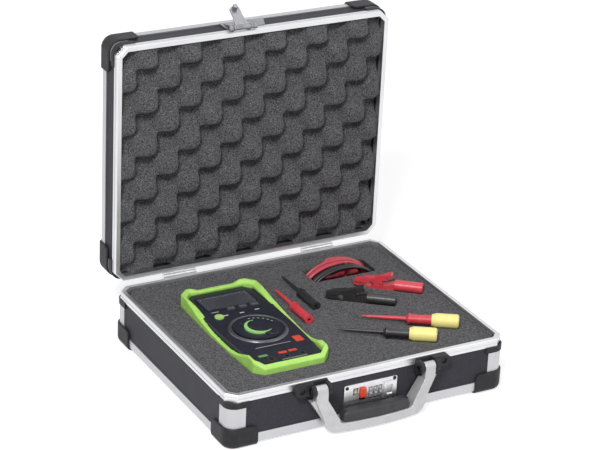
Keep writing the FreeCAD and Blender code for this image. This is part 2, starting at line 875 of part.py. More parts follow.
def bow(body, front, back):
    """Trim a body in plan to a band that bows forward between the arms."""
    half = arm_middle
    wide = arm_out + mm.arm_width
    pocket(body, draw(body, "XY_Plane", [
        [(-wide, front - mm.handle_stock), (wide, front - mm.handle_stock), (wide, front),
         (half, front, *bulge((half, front), (-half, front), -mm.handle_bow)),
         (-half, front), (-wide, front)],
        [(-wide, back), (-half, back, *bulge((-half, back), (half, back), mm.handle_bow)),
         (half, back), (wide, back), (wide, back + mm.handle_stock), (-wide, back + mm.handle_stock)],
    ], -mm.skin), reverse=True)


def handle_frame():
    """A die-cast bail: two arms with bored ends and deep heels, and a bar that bows forward."""
    body = new_body("handle_bail")
    low, top = mm.handle_bottom, pivot_up
    wide = arm_out - mm.handle_taper_out
    turn, inner = mm.handle_corner, mm.handle_inner_corner
    bend = wide - turn
    inner_bend = handle_narrow - inner
    pad(body, draw(body, "XZ_Plane", [[
        (-bend, low), (bend, low, bend, low + turn, turn), (wide, low + turn),
        (arm_out, bracket_foot), (arm_out, top), (arm_in, top), (arm_in, bracket_foot),
        (handle_narrow, handle_bar_top + inner, inner_bend, handle_bar_top + inner, inner),
        (inner_bend, handle_bar_top),
        (-inner_bend, handle_bar_top, -inner_bend, handle_bar_top + inner, inner),
        (-handle_narrow, handle_bar_top + inner), (-arm_in, bracket_foot), (-arm_in, top),
        (-arm_out, top), (-arm_out, bracket_foot), (-wide, low + turn, -bend, low + turn, turn),
    ]], half_depth), mm.handle_stock)
    bow(body, arm_front, arm_front + mm.arm_depth)
    heel_back = half_depth + mm.heel_gap
    heel_head = bracket_foot - mm.heel_gap
    for side in (-1, 1):
        heel = [(handle_narrow * side, low + turn), (arm_in * side, heel_head),
                ((arm_out + mm.heel_flare) * side, heel_head), (wide * side, low + turn)]
        pad(body, draw(body, "XZ_Plane", [heel], heel_back), -arm_front - mm.arm_depth / 2 - heel_back)
    for start in (arm_in, -arm_out):
        pad(body, draw(body, "YZ_Plane", [[(pivot_y, top, mm.arm_knuckle)]], start), mm.arm_width)
    bore = [(pivot_y, top, mm.handle_pin_radius + mm.running_gap)]
    pocket(body, draw(body, "YZ_Plane", [bore], -arm_out - mm.skin), reverse=True)
    finish("handle_frame", body, case_place)


def handle_grip():
    """A soft grip that sits on the bar, between the arms."""
    body = new_body("handle_pad")
    half = handle_narrow - mm.handle_inner_corner
    top = handle_bar_top + mm.grip_height
    radius = mm.grip_radius
    shoulder = half - radius
    pad(body, draw(body, "XZ_Plane", [[
        (-half, handle_bar_top), (half, handle_bar_top),
        (half, top - radius, shoulder, top - radius, radius), (shoulder, top),
        (-shoulder, top, -shoulder, top - radius, radius), (-half, top - radius),
    ]], half_depth), mm.handle_stock)
    front = arm_front + mm.grip_inset
    bow(body, front, front + mm.grip_depth)
    round_edges(body, mm.grip_round, lambda edge, middle: abs(middle.z - float(top)) < 0.01
                and edge.Length > float(shoulder))
    finish("handle_grip", body, case_place)


handle_brackets()
handle_frame()
handle_grip()

# The lock: a face plate on the front board and a housing behind it that holds the dials.
lock_half = mm.lock_width / 2
lock_front = board_face + mm.lock_plate
dial_y = mm.dial_radius - lock_front - mm.dial_proud


def centred(x, y, width, height):
    """A rectangle about its middle."""
    return rectangle(x - width / 2, y - height / 2, x + width / 2, y + height / 2)


def lock_plate():
    """Face plate with a raised block, and windows for the catch, the button and the dials."""
    body = new_body("lock_face")
    outline = rectangle(-lock_half, mm.lock_foot, lock_half, mm.lock_head)
    pad(body, draw(body, "XZ_Plane", [outline], board_face), mm.lock_plate)
    round_edges(body, mm.lock_corner, lambda edge, middle: abs(
        abs(middle.x) - float(lock_half)) < 0.01 and edge.Length < float(mm.lock_plate) + 0.01)
    block = centred(mm.block_place, mm.dial_up, mm.block_width, mm.block_height)
    pad(body, draw(body, "XZ_Plane", [block], lock_front), mm.block_rise)
    recess = centred(mm.block_place, mm.dial_up, mm.block_recess_width, mm.block_recess_height)
    pocket(body, draw(body, "XZ_Plane", [recess], lock_front + mm.block_rise), mm.block_recess)
    clear = mm.dial_gap * 2
    windows = [
        rectangle(mm.catch_slot_place - mm.catch_slot_width / 2, mm.catch_slot_foot,
                  mm.catch_slot_place + mm.catch_slot_width / 2, mm.catch_slot_head),
        button_room(),
    ]
    for number in range(3):
        x = mm.dial_first + mm.dial_pitch * number
        windows.append(centred(x, mm.dial_up, mm.dial_width + clear, mm.dial_window))
    pocket(body, draw(body, "XZ_Plane", windows, lock_front))
    finish("lock_plate", body, case_place)


def button_room():
    """The window that the release button travels in."""
    half = mm.button_width / 2 + mm.dial_gap
    foot = mm.button_top - mm.button_height - mm.button_travel - mm.dial_gap
    return rectangle(mm.button_place - half, foot, mm.button_place + half, mm.button_top + mm.dial_gap)


def lock_housing():
    """Mechanism box behind the board, with the dials' axle and room for button and catch."""
    body = new_body("lock_box")
    half = lock_half - mm.lock_case_inset
    low = mm.lock_foot + mm.lock_case_inset
    high = mm.lock_head - mm.lock_case_inset
    pad(body, draw(body, "XZ_Plane", [rectangle(-half, low, half, high)], board_face),
        mm.lock_case_depth, reverse=True)
    left = mm.dial_first - mm.dial_pitch / 2 - mm.dial_gap
    right = mm.dial_first + mm.dial_pitch * 2.5 + mm.dial_gap
    room = mm.dial_radius + mm.dial_gap * 2
    cavity = rectangle(left, mm.dial_up - room, right, mm.dial_up + room)
    pocket(body, draw(body, "XZ_Plane", [cavity], board_face), board_face + dial_y + room)
    pocket(body, draw(body, "XZ_Plane", [button_room()], board_face), mm.button_depth + mm.dial_gap)
    catch = rectangle(mm.catch_slot_place - mm.catch_slot_width / 2, mm.catch_slot_foot,
                      mm.catch_slot_place + mm.catch_slot_width / 2, mm.catch_slot_head)
    pocket(body, draw(body, "XZ_Plane", [catch], board_face), mm.catch_slot_depth)
    pad(body, draw(body, "YZ_Plane", [[(dial_y, mm.dial_up, mm.axle_radius)]], left - mm.skin),
        right - left + mm.skin * 2)
    finish("lock_housing", body, case_place)


def lock_dial(number):
    """A number wheel with ten finger notches, free on the axle."""
    body = new_body(f"lock_wheel_{number}")
    half = mm.dial_width / 2
    pad(body, draw(body, "YZ_Plane", [
        [(0, 0, mm.dial_radius)], [(0, 0, mm.axle_radius + mm.running_gap)]], -half), mm.dial_width)
    notch = pocket(body, draw(body, "YZ_Plane", [
        centred(0, mm.dial_radius, mm.dial_notch * 2, mm.dial_notch * 2)], half))
    pattern = body.newObject("PartDesign::PolarPattern", f"lock_wheel_{number}_notches")
    pattern.Originals = [notch]
    pattern.Axis = (next(f for f in body.Origin.OriginFeatures if f.Role == "X_Axis"), [""])
    pattern.Angle = 360.0
    pattern.Occurrences = 10
    body.Tip = pattern
    x = mm.dial_first + mm.dial_pitch * (number - 1)
    finish(f"lock_dial_{number}", body, case_place * moved(x, dial_y, mm.dial_up))


def lock_button():
    """The release button, which slides down in its window."""
    body = new_body("lock_button")
    half = mm.button_width / 2
    outline = rectangle(mm.button_place - half, mm.button_top - mm.button_height,
                        mm.button_place + half, mm.button_top)
    pad(body, draw(body, "XZ_Plane", [outline], board_face - mm.button_depth),
        mm.button_depth + mm.lock_plate + mm.button_proud)
    finish("lock_release_button", body, case_place)


lock_plate()
lock_housing()
for dial in (1, 2, 3):
    lock_dial(dial)
lock_button()

# The hasp on the lid's front, in the lid's own frame; its flap is latched along +z.
hasp_y = half_depth + mm.hasp_axis_out
hasp_z = -mm.hasp_axis_up


def hasp():
    """Hasp plate with two cheeks and a riveted pin, and the flap that turns on it."""
    body = new_body("hasp_base")
    high = -mm.rim_height - mm.hasp_margin
    low = mm.foot + mm.trim_reach + mm.hasp_margin - mm.lid_height
    pad(body, draw(body, "XZ_Plane", [[
        (mm.hasp_left, low), (mm.hasp_right, low), (mm.hasp_right - mm.hasp_slant, high),
        (mm.hasp_left, high)]], -board_face), mm.hasp_plate, reverse=True)
    half = mm.flap_width / 2 + mm.arm_gap
    radius = mm.hasp_cheek_radius
    lean = radius * 0.7
    root_y = half_depth + mm.hasp_margin
    web = [(root_y, high), (root_y, low), (hasp_y + lean, hasp_z - lean), (hasp_y - lean, hasp_z + lean)]
    left = mm.catch_slot_place - half - mm.hasp_cheek
    right = mm.catch_slot_place + half
    for start in (left, right):
        for outline in (web, [(hasp_y, hasp_z, radius)]):
            pad(body, draw(body, "YZ_Plane", [outline], start), mm.hasp_cheek)
    pin = [(hasp_y, hasp_z, mm.flap_pin)]
    pad(body, draw(body, "YZ_Plane", [pin], left), right + mm.hasp_cheek - left)
    finish("hasp_plate", body, lid_place)

    flap = new_body("hasp_leaf")
    start = mm.catch_slot_place - mm.flap_width / 2
    inner = mm.flap_knuckle_offset - mm.flap_thick / 2
    outer = inner + mm.flap_thick
    end = mm.flap_width / 2
    waist = mm.flap_waist / 2
    tongue_up = mm.catch_slot_head - mm.tongue_gap - mm.tongue_height / 2
    tongue_end = mm.base_height - tongue_up - hasp_z
    tip = tongue_end + mm.tongue_height / 2 + mm.tongue_gap
    pad(flap, draw(flap, "YZ_Plane", [[(0, 0, mm.flap_knuckle)]], start), mm.flap_width)
    x = mm.catch_slot_place
    corner = mm.flap_corner
    blade = [
        (x - end, 0), (x + end, 0), (x + waist, tip / 2),
        (x + waist, tip - corner, x + waist - corner, tip - corner, corner),
        (x + waist - corner, tip), (x - waist + corner, tip, x - waist + corner, tip - corner, corner),
        (x - waist, tip - corner), (x - waist, tip / 2),
    ]
    pad(flap, draw(flap, "XZ_Plane", [blade], -outer), mm.flap_thick)
    tongue = centred(x, tongue_end, mm.tongue_width, mm.tongue_height)
    pad(flap, draw(flap, "XZ_Plane", [tongue], -inner), mm.tongue_reach)
    bore = [(0, 0, mm.flap_pin + mm.running_gap)]
    pocket(flap, draw(flap, "YZ_Plane", [bore], start - mm.skin), reverse=True)
    finish("hasp_flap", flap, lid_place * moved(0, hasp_y, hasp_z, -mm.flap_open_angle.value, X_AXIS))


hasp()


# The meter, in its own frame: middle of its back on z = 0, display end towards +y.
foam_top = mm.base_height - mm.foam_drop
foam_layer = foam_top - mm.inlay_thick
meter_place = case_place * moved(mm.meter_x, mm.meter_y, foam_layer + mm.rest_gap)
housing_inset = mm.holster_wall + mm.housing_gap
cavity_inset = housing_inset + mm.housing_wall
housing_foot = mm.holster_floor + mm.housing_gap
cavity_floor = housing_foot + mm.housing_wall
board_top = mm.circuit_board_up + mm.circuit_board


def meter_outline(inset):
    """The meter's plan: cut corners, straight shoulders and swelling sides, wider at the display."""
    end = mm.meter_length / 2 - inset
    head = mm.meter_top_width / 2 - inset
    foot = mm.meter_foot_width / 2 - inset
    cut_off = mm.meter_corner
    low = cut_off + mm.meter_shoulder - end
    high = end - cut_off - mm.meter_shoulder
    swell = mm.meter_swell
    return [
        (foot - cut_off, -end), (foot, cut_off - end),
        (foot, low, *bulge((foot, low), (head, high), swell)), (head, high),
        (head, end - cut_off), (head - cut_off, end), (cut_off - head, end), (-head, end - cut_off),
        (-head, high, *bulge((-head, high), (-foot, low), swell)), (-foot, low),
        (-foot, cut_off - end), (cut_off - foot, -end),
    ]


def meter_holster():
    """A rubber tray: bumpers at the corners, lips that slope to the face, sides that dip below it."""
    body = new_body("holster")
    top = mm.holster_height + mm.bumper_rise
    lip_foot = mm.face_height + mm.housing_gap
    pad(body, draw(body, "XY_Plane", [meter_outline(as_size(0))]), top)
    pocket(body, draw(body, "XY_Plane", [meter_outline(mm.holster_wall)], mm.holster_floor),
           lip_foot - mm.holster_floor, reverse=True)
    mouth = body.newObject("PartDesign::SubtractiveLoft", "holster_mouth")
    mouth.Profile = draw(body, "XY_Plane", [meter_outline(mm.lip_reach)], lip_foot)
    mouth.Sections = [draw(body, "XY_Plane", [meter_outline(mm.lip_crest)], top)]
    mouth.Ruled = True
    reach = mm.meter_foot_width / 2 - mm.bumper_width
    inner = reach - mm.bumper_slope
    ends = [(-reach, top), (-inner, mm.holster_height), (inner, mm.holster_height), (reach, top)]
    pocket(body, draw(body, "XZ_Plane", [ends], -mm.meter_length), reverse=True)
    fall = top - mm.dip_height
    low_radius = (mm.dip_foot * mm.dip_foot + fall * fall) / (fall * 2)
    high_radius = (mm.dip_head * mm.dip_head + fall * fall) / (fall * 2)
    sides = [
        (mm.dip_y - mm.dip_foot, top, mm.dip_y, mm.dip_height + low_radius, low_radius),
        (mm.dip_y, mm.dip_height, mm.dip_y, mm.dip_height + high_radius, high_radius),
        (mm.dip_y + mm.dip_head, top),
    ]
    pocket(body, draw(body, "YZ_Plane", [sides], -mm.meter_length), reverse=True)
    finish("meter_holster", body, meter_place)


key_places = [(mm.key_first + mm.key_pitch * number, mm.key_y) for number in range(3)]
socket_places = [(mm.socket_pitch * number, mm.socket_y) for number in (-1, 0, 1)]


def meter_shells():
    """The housing's front and rear shells; the front has the display, key and socket openings."""
    front = new_body("front_shell")
    pad(front, draw(front, "XY_Plane", [meter_outline(housing_inset)], mm.housing_split),
        mm.face_height - mm.housing_split)
    round_edges(front, mm.face_round, lambda edge, middle: abs(middle.z - float(mm.face_height)) < 0.01)
    pocket(front, draw(front, "XY_Plane", [meter_outline(cavity_inset)], mm.housing_split),
           mm.face_height - mm.housing_split - mm.housing_wall, reverse=True)
    ring = [[(0, mm.switch_y, mm.switch_ring)],
            [(0, mm.switch_y, mm.switch_ring - mm.switch_ring_width)]]
    pad(front, draw(front, "XY_Plane", ring, mm.face_height), mm.switch_ring_rise)
    gap = mm.key_gap * 2
    openings = [
        centred(0, mm.window_y, mm.window_width + mm.housing_gap * 2, mm.window_height + mm.housing_gap * 2),
        [(0, mm.switch_y, mm.switch_shaft + mm.running_gap)],
        [(mm.power_x, mm.power_y, mm.power_radius + mm.key_gap)],
    ]
    openings += [centred(*place, mm.key_width + gap, mm.key_height + gap) for place in key_places]
    openings += [[(*place, mm.socket_radius + mm.housing_gap)] for place in socket_places]
    pocket(front, draw(front, "XY_Plane", openings, mm.face_height), mm.housing_wall * 2)
    finish("meter_front_shell", front, meter_place)

    rear = new_body("rear_shell")
    pad(rear, draw(rear, "XY_Plane", [meter_outline(housing_inset)], housing_foot),
        mm.housing_split - housing_foot)
    pocket(rear, draw(rear, "XY_Plane", [meter_outline(cavity_inset)], mm.housing_split),
           mm.housing_split - cavity_floor)
    bosses = [[(mm.boss_x * side, mm.boss_y * end, mm.boss_radius)] for side in (-1, 1) for end in (-1, 1)]
    pad(rear, draw(rear, "XY_Plane", bosses, cavity_floor), mm.circuit_board_up - cavity_floor)
    finish("meter_rear_shell", rear, meter_place)


def meter_inside():
    """Window, display module, sockets, circuit board and two cells."""
    window = new_body("window")
    pad(window, draw(window, "XY_Plane", [centred(0, mm.window_y, mm.window_width, mm.window_height)],
                     mm.face_height - mm.window_thick), mm.window_thick)
    finish("meter_window", window, meter_place)
    display = new_body("display")
    margin = mm.display_margin * 2
    pad(display, draw(display, "XY_Plane", [
        centred(0, mm.window_y, mm.window_width - margin, mm.window_height - margin)],
        mm.face_height - mm.window_thick), mm.display_thick, reverse=True)
    finish("meter_display", display, meter_place)
    tubes = []
    for place in socket_places:
        tube = new_body("socket")
        pad(tube, draw(tube, "XY_Plane", [[(*place, mm.socket_radius)]], board_top),
            mm.face_height - board_top)
        pocket(tube, draw(tube, "XY_Plane", [[(*place, mm.socket_bore)]], mm.face_height), mm.socket_depth)
        tubes.append(tube)
    finish("meter_sockets", gathered("socket_row", tubes), meter_place)
    board = new_body("circuit_board")
    outline = centred(0, 0, mm.circuit_board_width, mm.circuit_board_length)
    pad(board, draw(board, "XY_Plane", [outline], mm.circuit_board_up), mm.circuit_board)
    finish("meter_board", board, meter_place)
    cells = []
    for side in (-1, 1):
        cell = new_body("cell")
        x = mm.cell_place_x * side
        z = cavity_floor + mm.cell_radius + mm.housing_gap
        pad(cell, draw(cell, "XZ_Plane", [[(x, z, mm.cell_radius)]], -mm.cell_place_y), mm.cell_length)
        pad(cell, draw(cell, "XZ_Plane", [[(x, z, mm.cell_nub)]], -mm.cell_place_y - mm.cell_nub / 2),
            mm.cell_nub)
        cells.append(cell)
    finish("meter_batteries", gathered("cell_pair", cells), meter_place)


def meter_controls():
    """The rotary switch on its shaft, the round power key and three function keys."""
    switch = new_body("switch")
    foot = mm.face_height + mm.rest_gap
    pad(switch, draw(switch, "XY_Plane", [[(0, 0, mm.switch_radius)]], foot), mm.switch_thick)
    half = mm.switch_bar_width / 2
    reach = mm.switch_radius - mm.switch_thick - half
    bar = [
        (half, -reach), (half, reach, 0, reach, half), (0, reach + half, 0, reach, half), (-half, reach),
        (-half, -reach, 0, -reach, half), (0, -reach - half, 0, -reach, half),
    ]
    pad(switch, draw(switch, "XY_Plane", [bar], foot + mm.switch_thick), mm.switch_bar_rise)
    bar_top = float(foot + mm.switch_thick + mm.switch_bar_rise)
    round_edges(switch, mm.switch_bar_round, lambda edge, middle: abs(middle.z - bar_top) < 0.01)
    shaft = [[(0, 0, mm.switch_shaft)]]
    pad(switch, draw(switch, "XY_Plane", shaft, board_top + mm.rest_gap), foot - board_top - mm.rest_gap)
    finish("meter_switch", switch, meter_place * moved(0, mm.switch_y, 0, mm.switch_turn.value))
    key_foot = mm.face_height + mm.key_proud - mm.key_depth
    power = rod("power_key", "XY_Plane", mm.power_x, mm.power_y, mm.power_radius, key_foot, mm.key_depth)
    finish("meter_power_key", power, meter_place)
    for number, place in enumerate(key_places, start=1):
        key = new_body(f"key_{number}")
        outline = centred(*place, mm.key_width, mm.key_height)
        pad(key, draw(key, "XY_Plane", [outline], key_foot), mm.key_depth)
        finish(f"meter_key_{number}", key, meter_place)


meter_holster()
meter_shells()
meter_inside()
meter_controls()

# Probes, clips and hook probes lie along their own x, socket end at the origin, tip towards +x.
accessory_places = {}
for colour in ("red", "black"):
    for kind in ("probe", "clip", "hook"):
        x, y, turn = (getattr(mm, f"{colour}_{kind}_{word}") for word in ("x", "y", "turn"))
        up = foam_top + getattr(mm, f"{kind}_axis_rise")
        accessory_places[f"{colour}_{kind}"] = case_place * moved(x, y, up, turn.value)


def turned(name, profile):
    """A round piece about its own x from (along, radius) corners."""
    body = new_body(name)
    revolve(body, draw(body, "XY_Plane", [profile]))
    return body


probe_guard_x = mm.probe_length - mm.probe_shaft_length - mm.probe_guard_length
probe_shaft_x = mm.probe_length - mm.probe_shaft_length


def probe(colour):
    """A slip-on probe: lipped socket, waisted grip, finger guard and tapered shaft and tip."""
    tip = mm.probe_length - mm.probe_tip_length
    lip = mm.probe_end + mm.probe_lip
    grip = (mm.probe_bore_depth, mm.probe_end), (probe_guard_x, mm.probe_waist)
    profile = [
        (0, mm.socket_bore), (0, lip), (mm.probe_lip_length, lip), (mm.probe_lip_length, mm.probe_end),
        (*grip[0], *bulge(*grip, -mm.probe_swell)), grip[1],
        (probe_guard_x, mm.probe_guard), (probe_shaft_x, mm.probe_guard), (probe_shaft_x, mm.probe_shaft),
        (tip, mm.probe_shaft_end), (mm.probe_length, mm.probe_tip), (mm.probe_length, 0),
        (mm.probe_bore_depth, 0), (mm.probe_bore_depth, mm.socket_bore),
    ]
    name = f"{colour}_probe"
    finish(name, turned(f"{name}_turned", profile), accessory_places[name])


def teeth(start, end, level, depth, count):
    """The corners of a row of teeth between two points of a jaw."""
    step = (end - start) / count
    row = []
    for number in range(count):
        row.append((start + step * number, level))
        row.append((start + step * (number + 0.5), level + depth))
    return row


def clip(colour):
    """A crocodile clip: barrel with socket and lower jaw, and a lever with the upper jaw."""
    name = f"{colour}_clip"
    body = turned(f"{name}_base", [
        (0, mm.socket_bore), (0, mm.clip_barrel - mm.clip_jaw_gap), (mm.clip_jaw_gap, mm.clip_barrel),
        (mm.clip_barrel_length, mm.clip_barrel), (mm.clip_barrel_length, 0), (mm.clip_bore_depth, 0),
        (mm.clip_bore_depth, mm.socket_bore),
    ])
    half_gap = mm.clip_jaw_gap / 2
    half = mm.clip_width / 2
    pivot_x, pivot_z, round_off = mm.clip_pivot_x, mm.clip_pivot_up, mm.clip_cheek_radius
    heel = pivot_x - round_off
    jaw_start = pivot_x + round_off
    bite = mm.clip_length - mm.clip_bite
    eye = jaw_start + mm.clip_eye_place
    tip = mm.clip_length - mm.clip_jaw_gap
    body_end = mm.clip_barrel_length - mm.clip_jaw_gap
    pad(body, draw(body, "XZ_Plane", [[
        (body_end, -mm.clip_barrel), (jaw_start, -mm.clip_barrel), (bite, mm.clip_tooth - mm.clip_barrel),
        (mm.clip_length, -mm.clip_jaw_tip), (mm.clip_length, -half_gap),
        *teeth(tip, bite, -half_gap, -mm.clip_tooth, 6), (bite, -half_gap),
        (eye, -mm.clip_eye), (jaw_start, -half_gap), (heel, -half_gap), (body_end, pivot_z),
    ]], -half), mm.clip_width)
    lever_half = mm.clip_lever_width / 2 + mm.arm_gap
    cheek = [(heel, -pivot_z), (jaw_start, -pivot_z), (jaw_start, pivot_z), (pivot_x, pivot_z + round_off),
             (heel, pivot_z)]
    for start in (lever_half, -half):
        pad(body, draw(body, "XZ_Plane", [cheek], start), half - lever_half)
    pin = [(pivot_x, pivot_z, mm.clip_pivot_radius)]
    pad(body, draw(body, "XZ_Plane", [pin], -half), mm.clip_width)
    narrow = mm.clip_tip_width / 2

    def taper(width):
        return [[(jaw_start, sign * width), (mm.clip_length, sign * narrow),
                 (mm.clip_length, sign * width * 2), (jaw_start, sign * width * 2)] for sign in (-1, 1)]

    pocket(body, draw(body, "XY_Plane", taper(half), -mm.clip_width), reverse=True)
    finish(f"{name}_body", body, accessory_places[name])

    lever = new_body(f"{name}_top")
    tail_x, tail_foot, bevel = mm.clip_tail_x, mm.clip_tail_up, mm.clip_tail_bevel
    tail_head = tail_foot + mm.clip_lever_thick
    brow = pivot_z + round_off
    neck_foot = pivot_z + round_off / 2
    upper_jaw = [
        (jaw_start, half_gap), (eye, mm.clip_eye),
        *teeth(bite, tip, half_gap, mm.clip_tooth, 6), (tip, half_gap), (mm.clip_length, half_gap),
        (mm.clip_length, mm.clip_jaw_tip), (bite, brow - mm.clip_tooth),
    ]
    tail = [(tail_x + bevel, tail_head), (tail_x, tail_head - bevel), (tail_x, tail_foot)]
    pad(lever, draw(lever, "XZ_Plane", [
        upper_jaw + [(jaw_start, brow)] + tail
        + [(heel, neck_foot), (pivot_x - mm.clip_pivot_radius, half_gap)]
    ], -mm.clip_lever_width / 2), mm.clip_lever_width)
    wing_end = heel - mm.arm_gap * 2
    lean = (tail_head - brow) / (jaw_start - tail_x - bevel)
    wing_head = brow + lean * (jaw_start - wing_end)
    pad(lever, draw(lever, "XZ_Plane", [tail + [(wing_end, neck_foot), (wing_end, wing_head)]],
                    -mm.clip_tail_width / 2), mm.clip_tail_width)
    wide_jaw = [(jaw_start + half_gap, half_gap)] + upper_jaw[1:] + [(jaw_start + half_gap, brow)]
    jaw_half = mm.clip_jaw_width / 2
    pad(lever, draw(lever, "XZ_Plane", [wide_jaw], -jaw_half), mm.clip_jaw_width)
    pocket(lever, draw(lever, "XY_Plane", taper(jaw_half), -mm.clip_width), reverse=True)
    bore = [(pivot_x, pivot_z, mm.clip_pivot_radius + mm.running_gap)]
    pocket(lever, draw(lever, "XZ_Plane", [bore], mm.clip_width))
    finish(f"{name}_lever", lever, accessory_places[name])


hook_barrel_x = mm.hook_plunger_length - mm.hook_overlap
hook_shaft_x = mm.hook_length - mm.hook_shaft_length


def hook(colour):
    """A hook probe: stem, ribbed barrel, collar and thin shaft, and a plunger over the barrel."""
    name = f"{colour}_hook"
    collar = hook_shaft_x - mm.hook_collar_length
    flange = collar + mm.hook_stem_start
    wire = mm.hook_length - mm.hook_wire_length
    pitch, valley = mm.hook_rib_pitch, mm.hook_grip - mm.hook_rib
    ribs = []
    for number in range(5, 0, -1):
        start = collar - pitch * number
        ribs += [(start, mm.hook_grip), (start, valley), (start + pitch / 2, valley),
                 (start + pitch / 2, mm.hook_grip)]
    body = turned(f"{name}_stem", [
        (mm.hook_stem_start, 0), (mm.hook_stem_start, mm.hook_stem), (hook_barrel_x, mm.hook_stem),
        (hook_barrel_x, mm.hook_grip), *ribs, (collar, mm.hook_grip), (collar, mm.hook_collar),
        (flange, mm.hook_collar), (hook_shaft_x, mm.hook_shaft), (wire, mm.hook_shaft_end),
        (wire, mm.hook_wire), (mm.hook_length, mm.hook_wire), (mm.hook_length, 0),
    ])
    finish(f"{name}_body", body, accessory_places[name])
    cavity = hook_barrel_x - mm.hook_travel - mm.hook_gap * 2
    plunger = turned(f"{name}_cap", [
        (0, mm.hook_stem + mm.hook_gap), (0, mm.hook_plunger - mm.hook_rear_bevel),
        (mm.hook_rear_bevel, mm.hook_plunger), (mm.hook_plunger_length - mm.hook_bevel, mm.hook_plunger),
        (mm.hook_plunger_length, mm.hook_nose),
        (mm.hook_plunger_length, mm.hook_grip + mm.hook_gap), (cavity, mm.hook_grip + mm.hook_gap),
        (cavity, mm.hook_stem + mm.hook_gap),
    ])
    finish(f"{name}_plunger", plunger, accessory_places[name])


for colour in ("red", "black"):
    probe(colour)
    clip(colour)
    hook(colour)

# The two test leads: loops of an uneven spiral that stand on edge, ends turned in to their plugs.
lead_run = mm.lead_radius * 2
lead_turn_depth = mm.lead_pitch * mm.lead_turns
lead_tallest = mm.lead_half_height * (1 + mm.lead_sway) + mm.lead_radius
lead_middle_up = mm.foot + mm.skin + mm.board + mm.rest_gap + lead_tallest


def loop_point(angle, first, start_y):
    """A point of a lead's loops at an angle, counted from the first."""
    along = angle - first
    sway = 1 + float(mm.lead_sway) * math.sin(mm.lead_sway_rate.value * along)
    return Vector(
        float(mm.lead_middle_x) + float(mm.lead_half_width) * math.cos(angle) * sway,
        start_y + float(mm.lead_pitch) * along / (2 * math.pi),
        float(lead_middle_up) + float(mm.lead_half_height) * math.sin(angle) * sway,
    )


def lead_stations(first, start_y):
    """Points and directions along a lead, from plug to plug, a quarter turn apart in the loops."""
    quarter = math.pi / 2
    small = 1e-4
    stations = []
    for number in range(4 * int(mm.lead_turns.value) + 1):
        angle = first + quarter * number
        ahead = loop_point(angle + small, first, start_y)
        behind = loop_point(angle - small, first, start_y)
        stations.append((loop_point(angle, first, start_y), (ahead - behind).normalize()))
    inward = -math.copysign(2 * float(mm.lead_end_radius), math.sin(first))
    ends = []
    for point, direction in (stations[0], stations[-1]):
        heading = Vector(-math.copysign(1, direction.x), 0, 0)
        ends.append((point + Vector(0, 0, inward), heading))
    run = float(lead_run)
    opening = [(ends[0][0] - ends[0][1] * run, ends[0][1]), ends[0]]
    closing = [ends[1], (ends[1][0] + ends[1][1] * run, ends[1][1])]
    return opening + stations + closing


def arc_to(here, direction, there):
    """The arc that leaves a point in a direction and ends at another."""
    chord = there - here
    reach = chord.Length / 2
    lean = direction.getAngle(chord)
    side = (direction * reach - chord / 2 * math.cos(lean)).normalize()
    return Part.Arc(here, here + chord / 2 + side * reach * math.tan(lean / 2), there).toShape()


def biarc(first, second):
    """Two arcs that leave one station and arrive at the next."""
    (here, leaving), (there, arriving) = first, second
    span = there - here
    both = leaving + arriving
    slack = 2 * (1 - leaving.dot(arriving))
    across = span.dot(both)
    reach = (-across + math.sqrt(across * across + slack * span.dot(span))) / slack
    middle = (here + leaving * reach + there - arriving * reach) / 2
    onward = (there - arriving * reach - here - leaving * reach).normalize()
    return [arc_to(here, leaving, middle), arc_to(middle, onward, there)]


def least_gap(wire):
    """The least distance between stretches of a wire more than a quarter loop apart."""
    points = wire.discretize(Distance=2.0)
    skip = int(float(mm.lead_half_height) / 2)
    return min((a - b).Length for i, a in enumerate(points) for b in points[i + skip:])


def lead(colour, first, start_y):
    """A lead of loops with a shrouded plug at each end."""
    stations = lead_stations(first, start_y)
    edges = [Part.makeLine(stations[0][0], stations[1][0])]
    for one, following in zip(stations[1:-2], stations[2:-1]):
        edges += biarc(one, following)
    edges.append(Part.makeLine(stations[-2][0], stations[-1][0]))
    wire = Part.Wire(edges)
    radius = float(mm.lead_radius)
    section = Part.Wire(Part.makeCircle(radius, stations[0][0], stations[0][1]))
    shell_maker = Part.BRepOffsetAPI.MakePipeShell(wire)
    shell_maker.add(section)
    shell_maker.build()
    shell_maker.makeSolid()
    tube = doc.addObject("Part::Feature", f"{colour}_lead_tube")
    tube.Shape = shell_maker.shape()
    expected = math.pi * radius * radius * wire.Length
    print(f"{colour} lead: length {wire.Length:.0f}, volume ratio {tube.Shape.Volume / expected:.4f},",
          f"least gap {least_gap(wire) - 2 * radius:.2f}")
    finish(f"{colour}_lead", tube, case_place)
    plugs = []
    for (point, heading), away in ((stations[0], -1), (stations[-1], 1)):
        bare = mm.lead_plug_length - mm.lead_plug_shroud
        plug = turned(f"{colour}_plug", [
            (0, 0), (0, mm.lead_radius + mm.lead_plug_lip), (bare / 2, mm.lead_plug_radius),
            (mm.lead_plug_length, mm.lead_plug_radius),
            (mm.lead_plug_length, mm.lead_plug_radius - mm.lead_plug_lip),
            (bare, mm.lead_plug_radius - mm.lead_plug_lip), (bare, mm.plug_radius),
            (mm.lead_plug_length - mm.lead_plug_lip, mm.plug_radius),
            (mm.lead_plug_length - mm.lead_plug_lip, 0),
        ])
        plug.Placement = moved(point.x, point.y, point.z, 0 if heading.x * away > 0 else 180)
        plugs.append(plug)
    finish(f"{colour}_lead_plugs", gathered(f"{colour}_plug_pair", plugs), case_place)


lead_first_y = float(mm.lead_middle_y - lead_turn_depth - mm.lead_pitch / 2)
lead("black", -math.pi / 2, lead_first_y)
lead("red", math.pi / 2, lead_first_y + float(lead_turn_depth + mm.lead_pitch))


